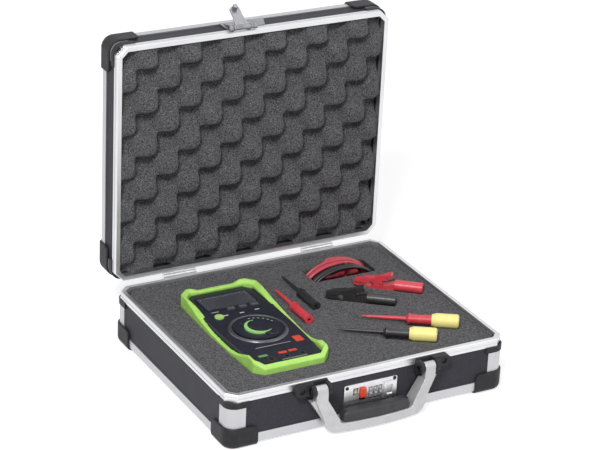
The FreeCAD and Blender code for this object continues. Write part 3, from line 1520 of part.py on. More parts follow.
def foam_block(name, width, depth, chamfer, foot, head):
    """A block of foam with cut corners."""
    body = new_body(name)
    pad(body, draw(body, "XY_Plane", [eight_sides(width, depth, chamfer)], foot), head - foot)
    return body


def cutter(name, place, outline, foot, head, role="XY_Plane"):
    """A prism that cuts a pocket, upright in a piece's own frame unless a role says otherwise."""
    body = new_body(name)
    pad(body, draw(body, role, [outline], foot), head - foot)
    body.Placement = place
    return body


def bar_outline(steps, margin):
    """The plan of a round piece along x, from (start, end, half width) steps, with a margin."""
    upper = []
    for number, (start, end, half) in enumerate(steps):
        first = start - margin if number == 0 else start
        last = end + margin if number == len(steps) - 1 else end
        upper += [(first, half + margin), (last, half + margin)]
    lower = [(x, -y) for x, y in reversed(upper)]
    return lower[::-1] + upper[::-1]


def foam():
    """The inlay with its pockets, the layer under it and the lid's egg-crate foam."""
    inner_width = mm.case_width - (rim_width + mm.foam_gap) * 2
    inner_depth = mm.case_depth - (rim_width + mm.foam_gap) * 2
    margin = mm.pocket_gap
    above = foam_top + mm.bumper_rise
    slot_x = mm.lead_half_width * (1 + mm.lead_sway) + mm.lead_radius + mm.lead_slot_gap
    slot_y = lead_turn_depth + mm.lead_pitch / 2 + mm.lead_plug_radius + mm.lead_slot_gap
    lead_slot = rectangle(mm.lead_middle_x - slot_x, mm.lead_middle_y - slot_y,
                          mm.lead_middle_x + slot_x, mm.lead_middle_y + slot_y)
    mouth_foot = foam_top - mm.lead_mouth_depth
    # the loops' arcs are a little fuller than an ellipse where they cross the foam's surface
    crossing = float(foam_top - lead_middle_up) / float(mm.lead_half_height * (1 + mm.lead_sway))
    span = max(1 - crossing * crossing, 0) ** 0.35
    mouth_x = mm.lead_half_width * (1 + mm.lead_sway) * span + lead_run + mm.lead_slot_gap
    mouth_y = lead_turn_depth + mm.lead_pitch / 2 + mm.lead_radius + mm.pocket_gap
    mid_x = mm.lead_middle_x
    lead_mouth = [
        (mid_x - slot_x, mouth_foot), (mid_x + slot_x, mouth_foot), (mid_x + mouth_x, foam_top),
        (mid_x + mouth_x, above), (mid_x - mouth_x, above), (mid_x - mouth_x, foam_top),
    ]
    half_lock = lock_half - mm.lock_case_inset + mm.pocket_gap
    lock_back = mm.lock_case_depth + mm.pocket_gap - board_face
    lock_notch = rectangle(-half_lock, -half_depth, half_lock, lock_back)
    lock_top = mm.lock_head - mm.lock_case_inset + mm.pocket_gap
    dial_side = mm.dial_width / 2 + mm.pocket_gap
    dial_last = mm.dial_first + mm.dial_pitch * 2
    dial_back = dial_y + mm.dial_radius + mm.pocket_gap
    dial_room = rectangle(mm.dial_first - dial_side, -half_depth, dial_last + dial_side, dial_back)
    dial_top = mm.dial_up + mm.dial_radius + mm.pocket_gap

    tools = [
        cutter("meter_pocket", meter_place, meter_outline(-margin), -mm.holster_floor, mm.holster_height),
        cutter("lead_slot", case_place, lead_slot, mm.foot, mouth_foot),
        cutter("lead_mouth", case_place, lead_mouth, -mm.lead_middle_y - mouth_y,
               mouth_y - mm.lead_middle_y, "XZ_Plane"),
        cutter("lock_notch", case_place, lock_notch, mm.foot, lock_top),
        cutter("dial_room", case_place, dial_room, mm.foot, dial_top),
    ]
    plans = {
        "probe": (mm.probe_guard, [(as_size(0), probe_guard_x, mm.probe_end + mm.probe_lip),
                                   (probe_guard_x, probe_shaft_x, mm.probe_guard)]),
        "clip": (mm.clip_barrel, [(as_size(0), mm.clip_barrel_length, mm.clip_barrel),
                                  (mm.clip_barrel_length, mm.clip_length, mm.clip_width / 2)]),
        "hook": (mm.hook_plunger, [(as_size(0), mm.hook_plunger_length + mm.hook_travel, mm.hook_plunger),
                                   (mm.hook_plunger_length + mm.hook_travel, hook_shaft_x, mm.hook_collar)]),
    }
    for name, place in accessory_places.items():
        deepest, steps = plans[name.split("_")[1]]
        tools.append(cutter(f"{name}_pocket", place, bar_outline(steps, margin),
                            -deepest - mm.rest_gap, mm.inlay_thick))
    pockets = doc.addObject("Part::MultiFuse", "pockets")
    pockets.Shapes = tools
    block = foam_block("inlay_block", inner_width, inner_depth, mm.rim_chamfer, foam_layer, foam_top)
    block.Placement = case_place
    inlay = cut("inlay", block, pockets)
    finish("foam_inlay", inlay, FreeCAD.Placement())

    inset = (mm.trim_reach + mm.foam_gap) * 2
    layer = foam_block("layer_block", mm.case_width - inset, mm.case_depth - inset, mm.rim_chamfer,
                       mm.foot + mm.skin + mm.board, foam_layer)
    pocket(layer, draw(layer, "XY_Plane", [lead_slot, lock_notch], foam_layer))
    finish("foam_base", layer, case_place)

    lid_floor = mm.foot + rim_width + mm.rest_gap - mm.lid_height
    prism = foam_block("crate_prism", inner_width, inner_depth, mm.rim_chamfer, lid_floor, mm.crate_swing)
    crate = doc.addObject("Part::Feature", "crate_waves")
    crate.Shape = egg_crate(inner_width, inner_depth)
    lid_foam = doc.addObject("Part::Common", "crate")
    lid_foam.Base = prism
    lid_foam.Tool = crate
    finish("lid_foam", lid_foam, lid_place)


def egg_crate(width, depth):
    """A block under a surface of staggered steep humps, wider than the foam that is cut from it."""
    pitch_x, pitch_y = float(mm.crate_pitch_x), float(mm.crate_pitch_y)
    swing = float(mm.crate_swing)
    level = float(mm.crate_proud) - swing
    samples = 12
    steep = mm.crate_steepness.value
    count_x = math.ceil(float(width) / 2 * samples / pitch_x) + 1
    count_y = math.ceil(float(depth) / 2 * samples / pitch_y) + 1
    rows = []
    for i in range(-count_x, count_x + 1):
        row = []
        for j in range(-count_y, count_y + 1):
            wave = math.cos(2 * math.pi * i / samples) * math.cos(2 * math.pi * j / samples)
            height = level + swing * math.tanh(steep * wave) / math.tanh(steep)
            row.append(Vector(i * pitch_x / samples, j * pitch_y / samples, height))
        rows.append(row)
    surface = Part.BSplineSurface()
    surface.interpolate(rows)
    return surface.toShape().extrude(Vector(0, 0, -float(mm.lid_height) * 2))


foam()


def write_parts():
    """Test every object and write each sub-part's file."""
    doc.recompute()
    for thing in doc.Objects:
        if "Invalid" in thing.State or "Error" in thing.State:
            raise RuntimeError(f"{thing.Name} failed: {thing.State}")
    os.makedirs("parts", exist_ok=True)
    for thing in nodes:
        shape = thing.Shape
        if shape.isNull() or not shape.isValid() or not shape.Solids:
            raise RuntimeError(f"{thing.Label} has no valid shape")
        shape.exportStep(f"parts/{thing.Label}.step")
        print(thing.Label, len(shape.Solids), round(shape.Volume / 1000, 2))


write_parts()
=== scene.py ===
import math
from functools import partial

import bmesh
import bpy
from mathutils import Matrix, Vector


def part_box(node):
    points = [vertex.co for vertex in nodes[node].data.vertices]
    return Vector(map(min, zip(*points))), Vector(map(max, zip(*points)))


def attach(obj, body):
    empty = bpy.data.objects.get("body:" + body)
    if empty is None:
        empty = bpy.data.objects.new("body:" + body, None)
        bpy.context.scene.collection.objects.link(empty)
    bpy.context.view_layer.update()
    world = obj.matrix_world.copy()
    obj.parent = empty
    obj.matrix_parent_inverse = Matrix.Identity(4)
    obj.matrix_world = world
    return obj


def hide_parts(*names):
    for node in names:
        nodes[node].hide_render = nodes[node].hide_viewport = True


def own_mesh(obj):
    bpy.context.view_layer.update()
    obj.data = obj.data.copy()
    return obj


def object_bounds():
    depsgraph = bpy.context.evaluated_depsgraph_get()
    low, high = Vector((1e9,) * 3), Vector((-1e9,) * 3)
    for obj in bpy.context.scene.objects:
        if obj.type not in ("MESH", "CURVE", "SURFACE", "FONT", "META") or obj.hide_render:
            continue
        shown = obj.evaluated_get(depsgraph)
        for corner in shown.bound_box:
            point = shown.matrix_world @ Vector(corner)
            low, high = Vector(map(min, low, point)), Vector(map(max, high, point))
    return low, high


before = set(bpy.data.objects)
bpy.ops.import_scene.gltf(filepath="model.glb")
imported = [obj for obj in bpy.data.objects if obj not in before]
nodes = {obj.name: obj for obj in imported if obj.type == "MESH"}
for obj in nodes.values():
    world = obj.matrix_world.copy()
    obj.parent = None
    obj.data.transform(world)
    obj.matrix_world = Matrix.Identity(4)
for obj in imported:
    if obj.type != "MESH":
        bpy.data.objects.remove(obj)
cad_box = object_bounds()

# Camera: in front of the case, to its left and above it, with a long lens.
# The angles are its heading from +Y towards +X, its tilt and its roll.
camera_place = Vector((-1.15637, -2.0271, 1.23266))
camera_yaw = math.radians(29.52)
camera_pitch = math.radians(-24.55)
camera_roll = math.radians(2.71)
camera_data = bpy.data.cameras.new("camera")
camera_data.sensor_width = 36.0
camera_data.lens = 138.09
camera = bpy.data.objects.new("camera", camera_data)
heading = Matrix.Rotation(-camera_yaw, 4, "Z")
tilt = Matrix.Rotation(math.pi / 2 + camera_pitch, 4, "X")
roll = Matrix.Rotation(camera_roll, 4, "Z")
camera.matrix_world = Matrix.Translation(camera_place) @ heading @ tilt @ roll
bpy.context.scene.collection.objects.link(camera)
bpy.context.scene.camera = camera
bpy.context.scene.view_settings.view_transform = "Standard"

# Floor and light: a white table top in a white room, with one soft lamp above and to the left
# and two wider, weaker ones, so that a colour shows about as it is written.
mm = 0.001
white = (1, 1, 1, 1)


def new_finish(name):
    """A material and its surface shader."""
    finish = bpy.data.materials.new(name)
    finish.use_nodes = True
    return finish, finish.node_tree.nodes["Principled BSDF"]


def feed(finish, socket, value):
    """A value, or a link from another node's output, into a socket."""
    if isinstance(value, bpy.types.NodeSocket):
        finish.node_tree.links.new(value, socket)
    else:
        socket.default_value = value


def add(finish, kind, sockets, **settings):
    """A shader node of a material; each socket gets a value or another node's output."""
    made = finish.node_tree.nodes.new("ShaderNode" + kind)
    for name, value in settings.items():
        setattr(made, name, value)
    for name, value in sockets.items():
        feed(finish, made.inputs[name], value)
    return made.outputs[0]


def new_piece(name, mesh, finish, body=None):
    """An object of a finished mesh, with its material, on the body that carries it."""
    piece = bpy.data.objects.new(name, mesh)
    bpy.context.scene.collection.objects.link(piece)
    mesh.materials.append(finish)
    if body:
        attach(piece, body)
    return piece


def from_bmesh(shape, name, smooth=35):
    """A mesh from a bmesh, smooth where its faces meet at less than so many degrees."""
    mesh = bpy.data.meshes.new(name)
    shape.to_mesh(mesh)
    shape.free()
    mesh.shade_smooth()
    mesh.set_sharp_from_angle(angle=math.radians(smooth))
    return mesh


def seen(finish):
    """1 on a ray from the camera, also by way of a shiny or a clear surface, and 0 on any other."""
    path = finish.node_tree.nodes.new("ShaderNodeLightPath")
    either = path.outputs["Is Camera Ray"]
    for ray in ("Is Glossy Ray", "Is Transmission Ray"):
        either = add(finish, "Math", {0: either, 1: path.outputs[ray]}, operation="MAXIMUM")
    return either


room_level = 0.34
white_room = bpy.data.worlds.new("white room")
white_room.use_nodes = True
backdrop = white_room.node_tree.nodes["Background"]
backdrop.inputs["Color"].default_value = white
feed(white_room, backdrop.inputs["Strength"],
     add(white_room, "MapRange", {"Value": seen(white_room), "To Min": room_level}))
bpy.context.scene.world = white_room

floor_size = 6.0
floor_drop = 0.3 * mm
floor_lift = 0.62
floor_finish, shader = new_finish("white table top")
shader.inputs["Base Color"].default_value = (0.64, 0.64, 0.64, 1)
shader.inputs["Roughness"].default_value = 0.9
shader.inputs["Specular IOR Level"].default_value = 0.0
shader.inputs["Emission Color"].default_value = white
feed(floor_finish, shader.inputs["Emission Strength"],
     add(floor_finish, "Math", {0: seen(floor_finish), 1: floor_lift}, operation="MULTIPLY"))
floor_shape = bmesh.new()
bmesh.ops.create_grid(floor_shape, x_segments=1, y_segments=1, size=floor_size)
bmesh.ops.translate(floor_shape, verts=floor_shape.verts, vec=(0, 0, -floor_drop))
new_piece("floor", from_bmesh(floor_shape, "floor"), floor_finish)

object_middle = (cad_box[0] + cad_box[1]) / 2
for lamp_name, lamp_place, lamp_size, lamp_power in (
    ("key lamp", Vector((-1.3, -1.5, 2.0)), 0.5, 50.0),
    ("fill lamp", Vector((1.9, -1.6, 1.3)), 1.6, 10.0),
    ("top lamp", Vector((0.2, 0.3, 2.6)), 1.6, 11.0),
):
    lamp_data = bpy.data.lights.new(lamp_name, "AREA")
    lamp_data.size = lamp_size
    lamp_data.energy = lamp_power
    lamp = bpy.data.objects.new(lamp_name, lamp_data)
    aim = (object_middle - lamp_place).to_track_quat("-Z", "Y")
    lamp.matrix_world = Matrix.Translation(lamp_place) @ aim.to_matrix().to_4x4()
    bpy.context.scene.collection.objects.link(lamp)


def grain(finish, scale, detail=2.0, stretch=(1, 1, 1)):
    """Noise over the object's coordinates, in cycles a metre; a stretch under 1 draws it out."""
    place = finish.node_tree.nodes.new("ShaderNodeTexCoord").outputs["Object"]
    drawn = add(finish, "Mapping", {"Vector": place, "Scale": stretch})
    return add(finish, "TexNoise", {"Vector": drawn, "Scale": scale, "Detail": detail})


def cells(finish, scale):
    """The distance from the nearest of scattered cells, in cells a metre."""
    place = finish.node_tree.nodes.new("ShaderNodeTexCoord").outputs["Object"]
    return add(finish, "TexVoronoi", {"Vector": place, "Scale": scale})


def between(finish, factor, low, high, start=0.3, end=0.7):
    """A number that runs from low to high as the factor goes from start to end."""
    return add(finish, "MapRange", {"Value": factor, "From Min": start, "From Max": end,
                                    "To Min": low, "To Max": high})


def blend_colour(finish, factor, dark, light, start=0.3, end=0.7):
    """A colour that runs from dark to light as the factor goes from start to end."""
    ramp = finish.node_tree.nodes.new("ShaderNodeValToRGB")
    for stop, place, colour in zip(ramp.color_ramp.elements, (start, end), (dark, light)):
        stop.position = place
        stop.color = (*colour, 1)
    feed(finish, ramp.inputs[0], factor)
    return ramp.outputs[0]


def relief(finish, height, depth, strength=1.0, under=None):
    """A surface normal pushed in and out by a height, over so many metres."""
    sockets = {"Height": height, "Distance": depth, "Strength": strength}
    if under is not None:
        sockets["Normal"] = under
    return add(finish, "Bump", sockets)


def dress(finish, *names):
    """A finish on nodes that keep their shape."""
    for name in names:
        nodes[name].data.materials.clear()
        nodes[name].data.materials.append(finish)


laminate, shader = new_finish("charcoal laminate")
feed(laminate, shader.inputs["Base Color"],
     blend_colour(laminate, grain(laminate, scale=900, detail=3),
                  dark=(0.034, 0.033, 0.041), light=(0.05, 0.049, 0.059)))
feed(laminate, shader.inputs["Roughness"],
     between(laminate, grain(laminate, scale=40, detail=4), low=0.5, high=0.55))
feed(laminate, shader.inputs["Normal"],
     relief(laminate, cells(laminate, scale=900), depth=0.18 * mm, strength=0.5))
shader.inputs["Specular IOR Level"].default_value = 0.15
dress(laminate, "base_bottom_board", "base_front_board", "base_wall_boards",
      "lid_top_board", "lid_wall_boards")

# Edges of the case: extruded aluminium, mitred and anodised to a satin silver, with faint lines
# along each length. The rims close on each other and the trims and posts cover the board edges.
# The trims and posts are painted darker than the rims: painted shade.
line_scale = 1500
line_stretch = 0.01


def drawn_lines(finish, axis):
    """Fine lines along an axis."""
    stretch = [line_stretch if name == axis else 1 for name in "XYZ"]
    return grain(finish, line_scale, stretch=stretch)


def rail_lines(finish, middle, half, second):
    """Fine lines along rails that frame a rectangle in X and a second axis."""
    place = finish.node_tree.nodes.new("ShaderNodeTexCoord").outputs["Object"]
    parts = finish.node_tree.nodes.new("ShaderNodeSeparateXYZ")
    feed(finish, parts.inputs[0], add(finish, "Mapping", {"Vector": place, "Location": -middle}))
    past = []
    for axis, reach in (("X", half.x), (second, half["XYZ".index(second)])):
        size = add(finish, "Math", {0: parts.outputs[axis]}, operation="ABSOLUTE")
        past.append(add(finish, "Math", {0: size, 1: reach}, operation="SUBTRACT"))
    on_side = add(finish, "Math", {0: past[0], 1: past[1]}, operation="GREATER_THAN")
    return add(finish, "Mix", {"Factor": on_side, "A": drawn_lines(finish, "X"),
                               "B": drawn_lines(finish, second)})


def satin_aluminium(name, lines, dark, light, rough, uneven=0.08):
    """Anodised aluminium with fine lines."""
    finish, shader = new_finish(name)
    feed(finish, shader.inputs["Base Color"],
         blend_colour(finish, grain(finish, scale=18, detail=3), dark, light))
    feed(finish, shader.inputs["Roughness"],
         between(finish, lines(finish), rough - uneven, rough + uneven))
    fine = relief(finish, grain(finish, scale=2600), depth=0.04 * mm, strength=0.35)
    feed(finish, shader.inputs["Normal"],
         relief(finish, lines(finish), depth=0.05 * mm, strength=0.4, under=fine))
    shader.inputs["Metallic"].default_value = 1.0
    return finish


for part, second, upright in (("base", "Y", "Z"), ("lid", "Z", "Y")):
    low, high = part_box(f"{part}_rim")
    along = partial(rail_lines, middle=(low + high) / 2, half=(high - low) / 2, second=second)
    upward = partial(drawn_lines, axis=upright)
    for piece, lines, dark, light, rough in (
        ("rim", along, (0.68, 0.68, 0.7), (0.74, 0.74, 0.76), 0.4),
        # Trims and posts: the same aluminium as the rims, with its colour painted darker as painted
        # shade.
        ("edge_trims", along, (0.5, 0.5, 0.52), (0.56, 0.56, 0.58), 0.42),
        ("corner_posts", upward, (0.51, 0.51, 0.53), (0.57, 0.57, 0.59), 0.5),
    ):
        dress(satin_aluminium(f"satin aluminium {part} {piece}", lines, dark, light, rough),
              f"{part}_{piece}")


# Corner caps and collars: moulded black plastic with a fine spark-eroded face, pushed over the
# corners of the trims and held by the boards behind them.
def moulded(name, dark, light, rough, pebble, depth, gloss=0.5, uneven=0.07):
    """Moulded plastic or rubber: a slow change of colour, uneven gloss and a pebbled face."""
    finish, shader = new_finish(name)
    shader.inputs["Specular IOR Level"].default_value = gloss
    feed(finish, shader.inputs["Base Color"],
         blend_colour(finish, grain(finish, scale=130, detail=4), dark, light))
    feed(finish, shader.inputs["Roughness"],
         between(finish, grain(finish, scale=400, detail=3), rough - uneven, rough + uneven))
    feed(finish, shader.inputs["Normal"],
         relief(finish, grain(finish, pebble), depth, strength=0.5))
    return finish


corner_plastic = moulded("corner plastic", (0.017, 0.017, 0.02), (0.028, 0.028, 0.032),
                         rough=0.52, pebble=2200, depth=0.12 * mm, gloss=0.25)
for part in ("base", "lid"):
    dress(corner_plastic, f"{part}_corner_caps", f"{part}_corner_collars")

# Base foam: dark grey open-cell foam, a flat layer and over it an inlay whose pockets are cut to
# the tools. The inlay is pressed in, so that its edge rolls up a little against the rim.
foam_finish, shader = new_finish("dark foam")
coarse = grain(foam_finish, scale=720, detail=4)
foam_grey = blend_colour(foam_finish, coarse, dark=(0.024, 0.0235, 0.026),
                         light=(0.165, 0.162, 0.173), start=0.34)
fleck_grey = (0.34, 0.335, 0.35, 1)
flecks = between(foam_finish, grain(foam_finish, scale=950, detail=1), low=0, high=0.75,
                 start=0.64, end=0.74)
feed(foam_finish, shader.inputs["Base Color"],
     add(foam_finish, "MixRGB", {"Fac": flecks, "Color1": foam_grey, "Color2": fleck_grey}))
pores = relief(foam_finish, cells(foam_finish, scale=1500), depth=0.3 * mm, strength=0.5)
feed(foam_finish, shader.inputs["Normal"],
     relief(foam_finish, coarse, depth=0.6 * mm, strength=0.6, under=pores))
shader.inputs["Roughness"].default_value = 0.95
shader.inputs["Specular IOR Level"].default_value = 0.15
shader.inputs["Sheen Weight"].default_value = 0.12


def closed(shape):
    """Doubles merged and all faces outward."""
    bmesh.ops.remove_doubles(shape, verts=shape.verts, dist=mm / 1000)
    bmesh.ops.recalc_face_normals(shape, faces=shape.faces)


def node_copy(node):
    """A node's mesh again, closed."""
    shape = bmesh.new()
    shape.from_mesh(nodes[node].data)
    closed(shape)
    return from_bmesh(shape, node)


def soft_copy(mesh, voxel, rounds):
    """A closed mesh again as one soft skin, with its edges rubbed round."""
    rough = bpy.data.objects.new("rough", mesh)
    bpy.context.scene.collection.objects.link(rough)
    skin = rough.modifiers.new("skin", "REMESH")
    skin.mode = "VOXEL"
    skin.voxel_size = voxel
    rub = rough.modifiers.new("rub", "SMOOTH")
    rub.factor = 0.5
    rub.iterations = rounds
    graph = bpy.context.evaluated_depsgraph_get()
    made = bpy.data.meshes.new_from_object(rough.evaluated_get(graph))
    bpy.data.objects.remove(rough)
    made.materials.clear()
    made.shade_smooth()
    return made


roll_reach = 5.5 * mm
for node, voxel, roll_rise in (("foam_base", 2.5 * mm, 0.0), ("foam_inlay", 1.6 * mm, 4.4 * mm)):
    foam_mesh = soft_copy(node_copy(node), voxel, rounds=3)
    low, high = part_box(node)
    for vert in foam_mesh.vertices:
        inside = min(vert.co.x - low.x, high.x - vert.co.x, vert.co.y - low.y, high.y - vert.co.y)
        near = max(0.0, 1 - max(0.0, inside) / roll_reach)
        upper = max(0.0, 1 - (high.z - vert.co.z) / roll_reach)
        vert.co.z += roll_rise * near * near * (3 - 2 * near) * upper
    soft = new_piece(f"{node}_soft", foam_mesh, foam_finish, "base")
    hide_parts(node)

# Lid foam: a thick sheet of the same foam, cut to steep staggered humps that lean a little and
# join along one slant, and glued to the lid's top board. It presses together as the lid shuts.
hump_pitch_x = 53.6 * mm
hump_pitch_up = 52.6 * mm
hump_swing = 10 * mm
hump_steepness = 2.3
hump_link = 0.07
hump_side = -2.4 * mm
hump_drop = 4.2 * mm
hump_lean = Vector((3.6 * mm, 0, -3.2 * mm))
tuck_reach = 14 * mm
tuck_depth = 9 * mm
foam_chamfer = 10.5 * mm
lid_foam_step = 1.0 * mm
low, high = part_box("lid_foam")
foam_wide, foam_tall = high.x - low.x, high.z - low.z
hump_level = low.y + hump_swing
lid_middle_up = (low.z + high.z) / 2
foam_shape = bmesh.new()
bmesh.ops.create_grid(
    foam_shape, size=0.5, x_segments=round(foam_wide / lid_foam_step),
    y_segments=round(foam_tall / lid_foam_step),
    matrix=Matrix.Translation((0, hump_level, lid_middle_up))
    @ Matrix.Rotation(math.pi / 2, 4, "X") @ Matrix.Diagonal((foam_wide, foam_tall, 1, 1)))
for side_x in (-1, 1):
    for side_z in (-1, 1):
        corner = Vector((side_x * (high.x - foam_chamfer), 0,
                         lid_middle_up + side_z * foam_tall / 2))
        bmesh.ops.bisect_plane(
            foam_shape, geom=foam_shape.verts[:] + foam_shape.edges[:] + foam_shape.faces[:],
            plane_co=corner, plane_no=(side_x, 0, side_z), clear_outer=True)
for vert in foam_shape.verts:
    across = 2 * math.pi * (vert.co.x - hump_side) / hump_pitch_x
    upward = 2 * math.pi * (vert.co.z - lid_middle_up + hump_drop) / hump_pitch_up
    wave = math.cos(across) * math.cos(upward) + hump_link * math.sin(across) * math.sin(upward)
    swing = math.tanh(hump_steepness * wave) / math.tanh(hump_steepness)
    inside = min(high.x - abs(vert.co.x), vert.co.z - low.z, high.z - vert.co.z)
    near_edge = max(0.0, 1 - inside / tuck_reach)
    vert.co.y -= hump_swing * swing
    vert.co.y += max(0.0, low.y + tuck_depth - vert.co.y) * near_edge
    vert.co += hump_lean * (swing * (1 - near_edge))
rim_edges = [edge for edge in foam_shape.edges if edge.is_boundary]
for made in bmesh.ops.extrude_edge_only(foam_shape, edges=rim_edges)["geom"]:
    if isinstance(made, bmesh.types.BMVert):
        made.co.y = high.y
bmesh.ops.holes_fill(foam_shape, edges=[edge for edge in foam_shape.edges if edge.is_boundary])
bmesh.ops.recalc_face_normals(foam_shape, faces=foam_shape.faces)
lid_foam = new_piece("lid_foam_soft", from_bmesh(foam_shape, "lid_foam", smooth=60), foam_finish,
                     "lid")
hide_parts("lid_foam")
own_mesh(lid_foam)


# Hinges: pressed steel leaves with rolled knuckles on a steel pin, each leaf fixed to its rim by
# three domed rivets.
def metal(name, dark, light, rough, metallic=1.0, stretch=(1, 1, 1), uneven=0.09):
    """Bare or plated metal: cloudy tone and fine marks in its gloss."""
    finish, shader = new_finish(name)
    feed(finish, shader.inputs["Base Color"],
         blend_colour(finish, grain(finish, scale=120, detail=4), dark, light))
    feed(finish, shader.inputs["Roughness"],
         between(finish, grain(finish, scale=900, detail=3, stretch=stretch),
                 rough - uneven, rough + uneven))
    feed(finish, shader.inputs["Normal"],
         relief(finish, grain(finish, scale=1600, stretch=stretch), depth=0.04 * mm, strength=0.4))
    shader.inputs["Metallic"].default_value = metallic
    return finish


def turned(shape, profile, place, steps, ring=False):
    """A round form about a place's own z from (radius, along) corners in mm, added to a bmesh."""
    verts = [shape.verts.new(place @ Vector((radius * mm, 0, along * mm)))
             for radius, along in profile]
    pairs = list(zip(verts, verts[1:])) + ([(verts[-1], verts[0])] if ring else [])
    edges = [shape.edges.new(pair) for pair in pairs]
    bmesh.ops.spin(shape, geom=verts + edges, cent=place.translation, axis=place.col[2].xyz,
                   angle=2 * math.pi, steps=steps, use_merge=True)


hinge_steel = metal("hinge steel", (0.66, 0.66, 0.68), (0.78, 0.78, 0.8), rough=0.32)
dress(hinge_steel, "hinge_base_leaves", "hinge_lid_leaves", "hinge_pins")
rivet = ((0, 0.7), (0.9, 0.6), (1.5, 0.3), (1.7, 0), (1.7, -0.4), (0, -0.4))
rivet_pitch = 15 * mm
rivet_drop = 5 * mm
hinge_middle = 91 * mm
leaf_face = 2.8 * mm
low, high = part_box("hinge_pins")
pin_line = Vector((0, (low.y + high.y) / 2, (low.z + high.z) / 2))
for part, offset, turn in (("base", Vector((0, -leaf_face, -rivet_drop)), -math.pi / 2),
                           ("lid", Vector((0, rivet_drop, leaf_face)), math.pi)):
    rivets = bmesh.new()
    for side in (-1, 1):
        for step in (-rivet_pitch, 0, rivet_pitch):
            across = Vector((side * hinge_middle + step, 0, 0))
            turned(rivets, rivet, Matrix.Translation(pin_line + offset + across)
                   @ Matrix.Rotation(turn, 4, "X"), steps=16)
    closed(rivets)
    new_piece(f"hinge_{part}_rivets", from_bmesh(rivets, "rivets"), hinge_steel,
              part)

# Handle: a bowed die-cast frame, painted satin silver, turns on pins in two black brackets that
# are screwed to the front, and carries a soft black grip.
cast_silver = metal("satin silver casting", (0.5, 0.5, 0.515), (0.57, 0.57, 0.585),
                    rough=0.4, metallic=0.5)
cast_frame = new_piece("handle_frame_cast",
                       soft_copy(node_copy("handle_frame"), voxel=0.8 * mm, rounds=2),
                       cast_silver, "handle")
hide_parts("handle_frame")
dress(corner_plastic, "handle_brackets")
dress(hinge_steel, "handle_pins")

grip_rubber = moulded("grip rubber", (0.02, 0.02, 0.024), (0.034, 0.034, 0.04),
                      rough=0.55, pebble=1100, depth=0.2 * mm)
grip = new_piece("handle_grip_soft", soft_copy(node_copy("handle_grip"), voxel=0.9 * mm, rounds=4),
                 grip_rubber, "handle")
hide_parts("handle_grip")

black_steel = metal("blackened steel", (0.03, 0.03, 0.032), (0.06, 0.06, 0.063), rough=0.36)
front_turn = Matrix.Rotation(math.pi / 2, 4, "X")
pivot_head = ((0, -0.3), (3.6, -0.3), (3.6, 0.6), (3.1, 1.0), (1.7, 1.0), (1.7, 0.1), (0, 0.1))
ear_head = ((0, -0.2), (2.9, -0.2), (2.9, 1.0), (2.3, 1.5), (1.2, 1.5), (1.2, 0.7), (0, 0.7))
cheek_inside = 55.3 * mm
ear_x, ear_y, ear_up = 88.5 * mm, -161.0 * mm, 56.75 * mm
low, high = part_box("handle_pins")
pivot = (low + high) / 2
screws = bmesh.new()
for side in (-1, 1):
    for x, outward in ((cheek_inside, -1), (high.x, 1)):
        turn = Matrix.Rotation(side * outward * math.pi / 2, 4, "Y")
        turned(screws, pivot_head, Matrix.Translation((side * x, pivot.y, pivot.z)) @ turn,
               steps=24)
    turned(screws, ear_head, Matrix.Translation((side * ear_x, ear_y, ear_up)) @ front_turn,
           steps=24)
closed(screws)
new_piece("handle_bracket_screws", from_bmesh(screws, "screws"), black_steel,
          "base")

# Hasp: a pressed steel plate on the lid's front edge, with a flap that turns between two rolled
# lobes at its sides and drops its tongue into the lock.
hasp_steel = metal("hasp steel", (0.24, 0.24, 0.26), (0.34, 0.34, 0.36), rough=0.3)
dress(hasp_steel, "hasp_plate", "hasp_flap")
lobe = ((0, 0), (3.1, 0), (3.6, 0.5), (3.6, 4.2), (3.1, 4.7), (1.6, 4.7), (1.6, 5.4), (0, 5.4))
lobe_start = 12.6 * mm
hasp_line_y, hasp_line_up = 133.8 * mm, 358.6 * mm
low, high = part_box("hasp_flap")
lobes = bmesh.new()
for side in (-1, 1):
    lobe_place = Vector(((low.x + high.x) / 2 + side * lobe_start, hasp_line_y, hasp_line_up))
    lobe_turn = Matrix.Rotation(side * math.pi / 2, 4, "Y")
    turned(lobes, lobe, Matrix.Translation(lobe_place) @ lobe_turn, steps=24)
closed(lobes)
new_piece("hasp_knuckles", from_bmesh(lobes, "lobes"), hasp_steel, "lid")


# Lock: a nickel-plated face plate with a raised keeper block, screwed to the front over a black
# mechanism, with a cream catch, a ribbed red release slide and three number dials.
def plate(shape, width, height, thick, place, soft=0.0):
    """A block about a place's own middle, its edges broken by a soft radius, added to a bmesh."""
    made = bmesh.ops.create_cube(shape, size=1.0,
                                 matrix=place @ Matrix.Diagonal((width, height, thick, 1)))
    if soft:
        edges = list({edge for vert in made["verts"] for edge in vert.link_edges})
        bmesh.ops.bevel(shape, geom=edges, offset=soft, affect="EDGES", segments=2, profile=0.5,
                        material=-1)


def number_mesh(text, height, thick):
    """A plain number as a flat mesh about its own middle."""
    curve = bpy.data.curves.new("number", "FONT")
    curve.body = text
    curve.size = height
    curve.extrude = thick / 2
    curve.align_x = "CENTER"
    curve.align_y = "CENTER"
    drawn = bpy.data.objects.new("number", curve)
    bpy.context.scene.collection.objects.link(drawn)
    graph = bpy.context.evaluated_depsgraph_get()
    made = bpy.data.meshes.new_from_object(drawn.evaluated_get(graph))
    bpy.data.objects.remove(drawn)
    return made


lock_alloy = metal("lock alloy", (0.66, 0.66, 0.68), (0.76, 0.76, 0.78), rough=0.34,
                   stretch=(0.02, 1, 1))
dress(lock_alloy, "lock_plate")
dress(moulded("lock interior", (0.012, 0.012, 0.013), (0.025, 0.025, 0.027),
              rough=0.55, pebble=1500, depth=0.05 * mm), "lock_housing")

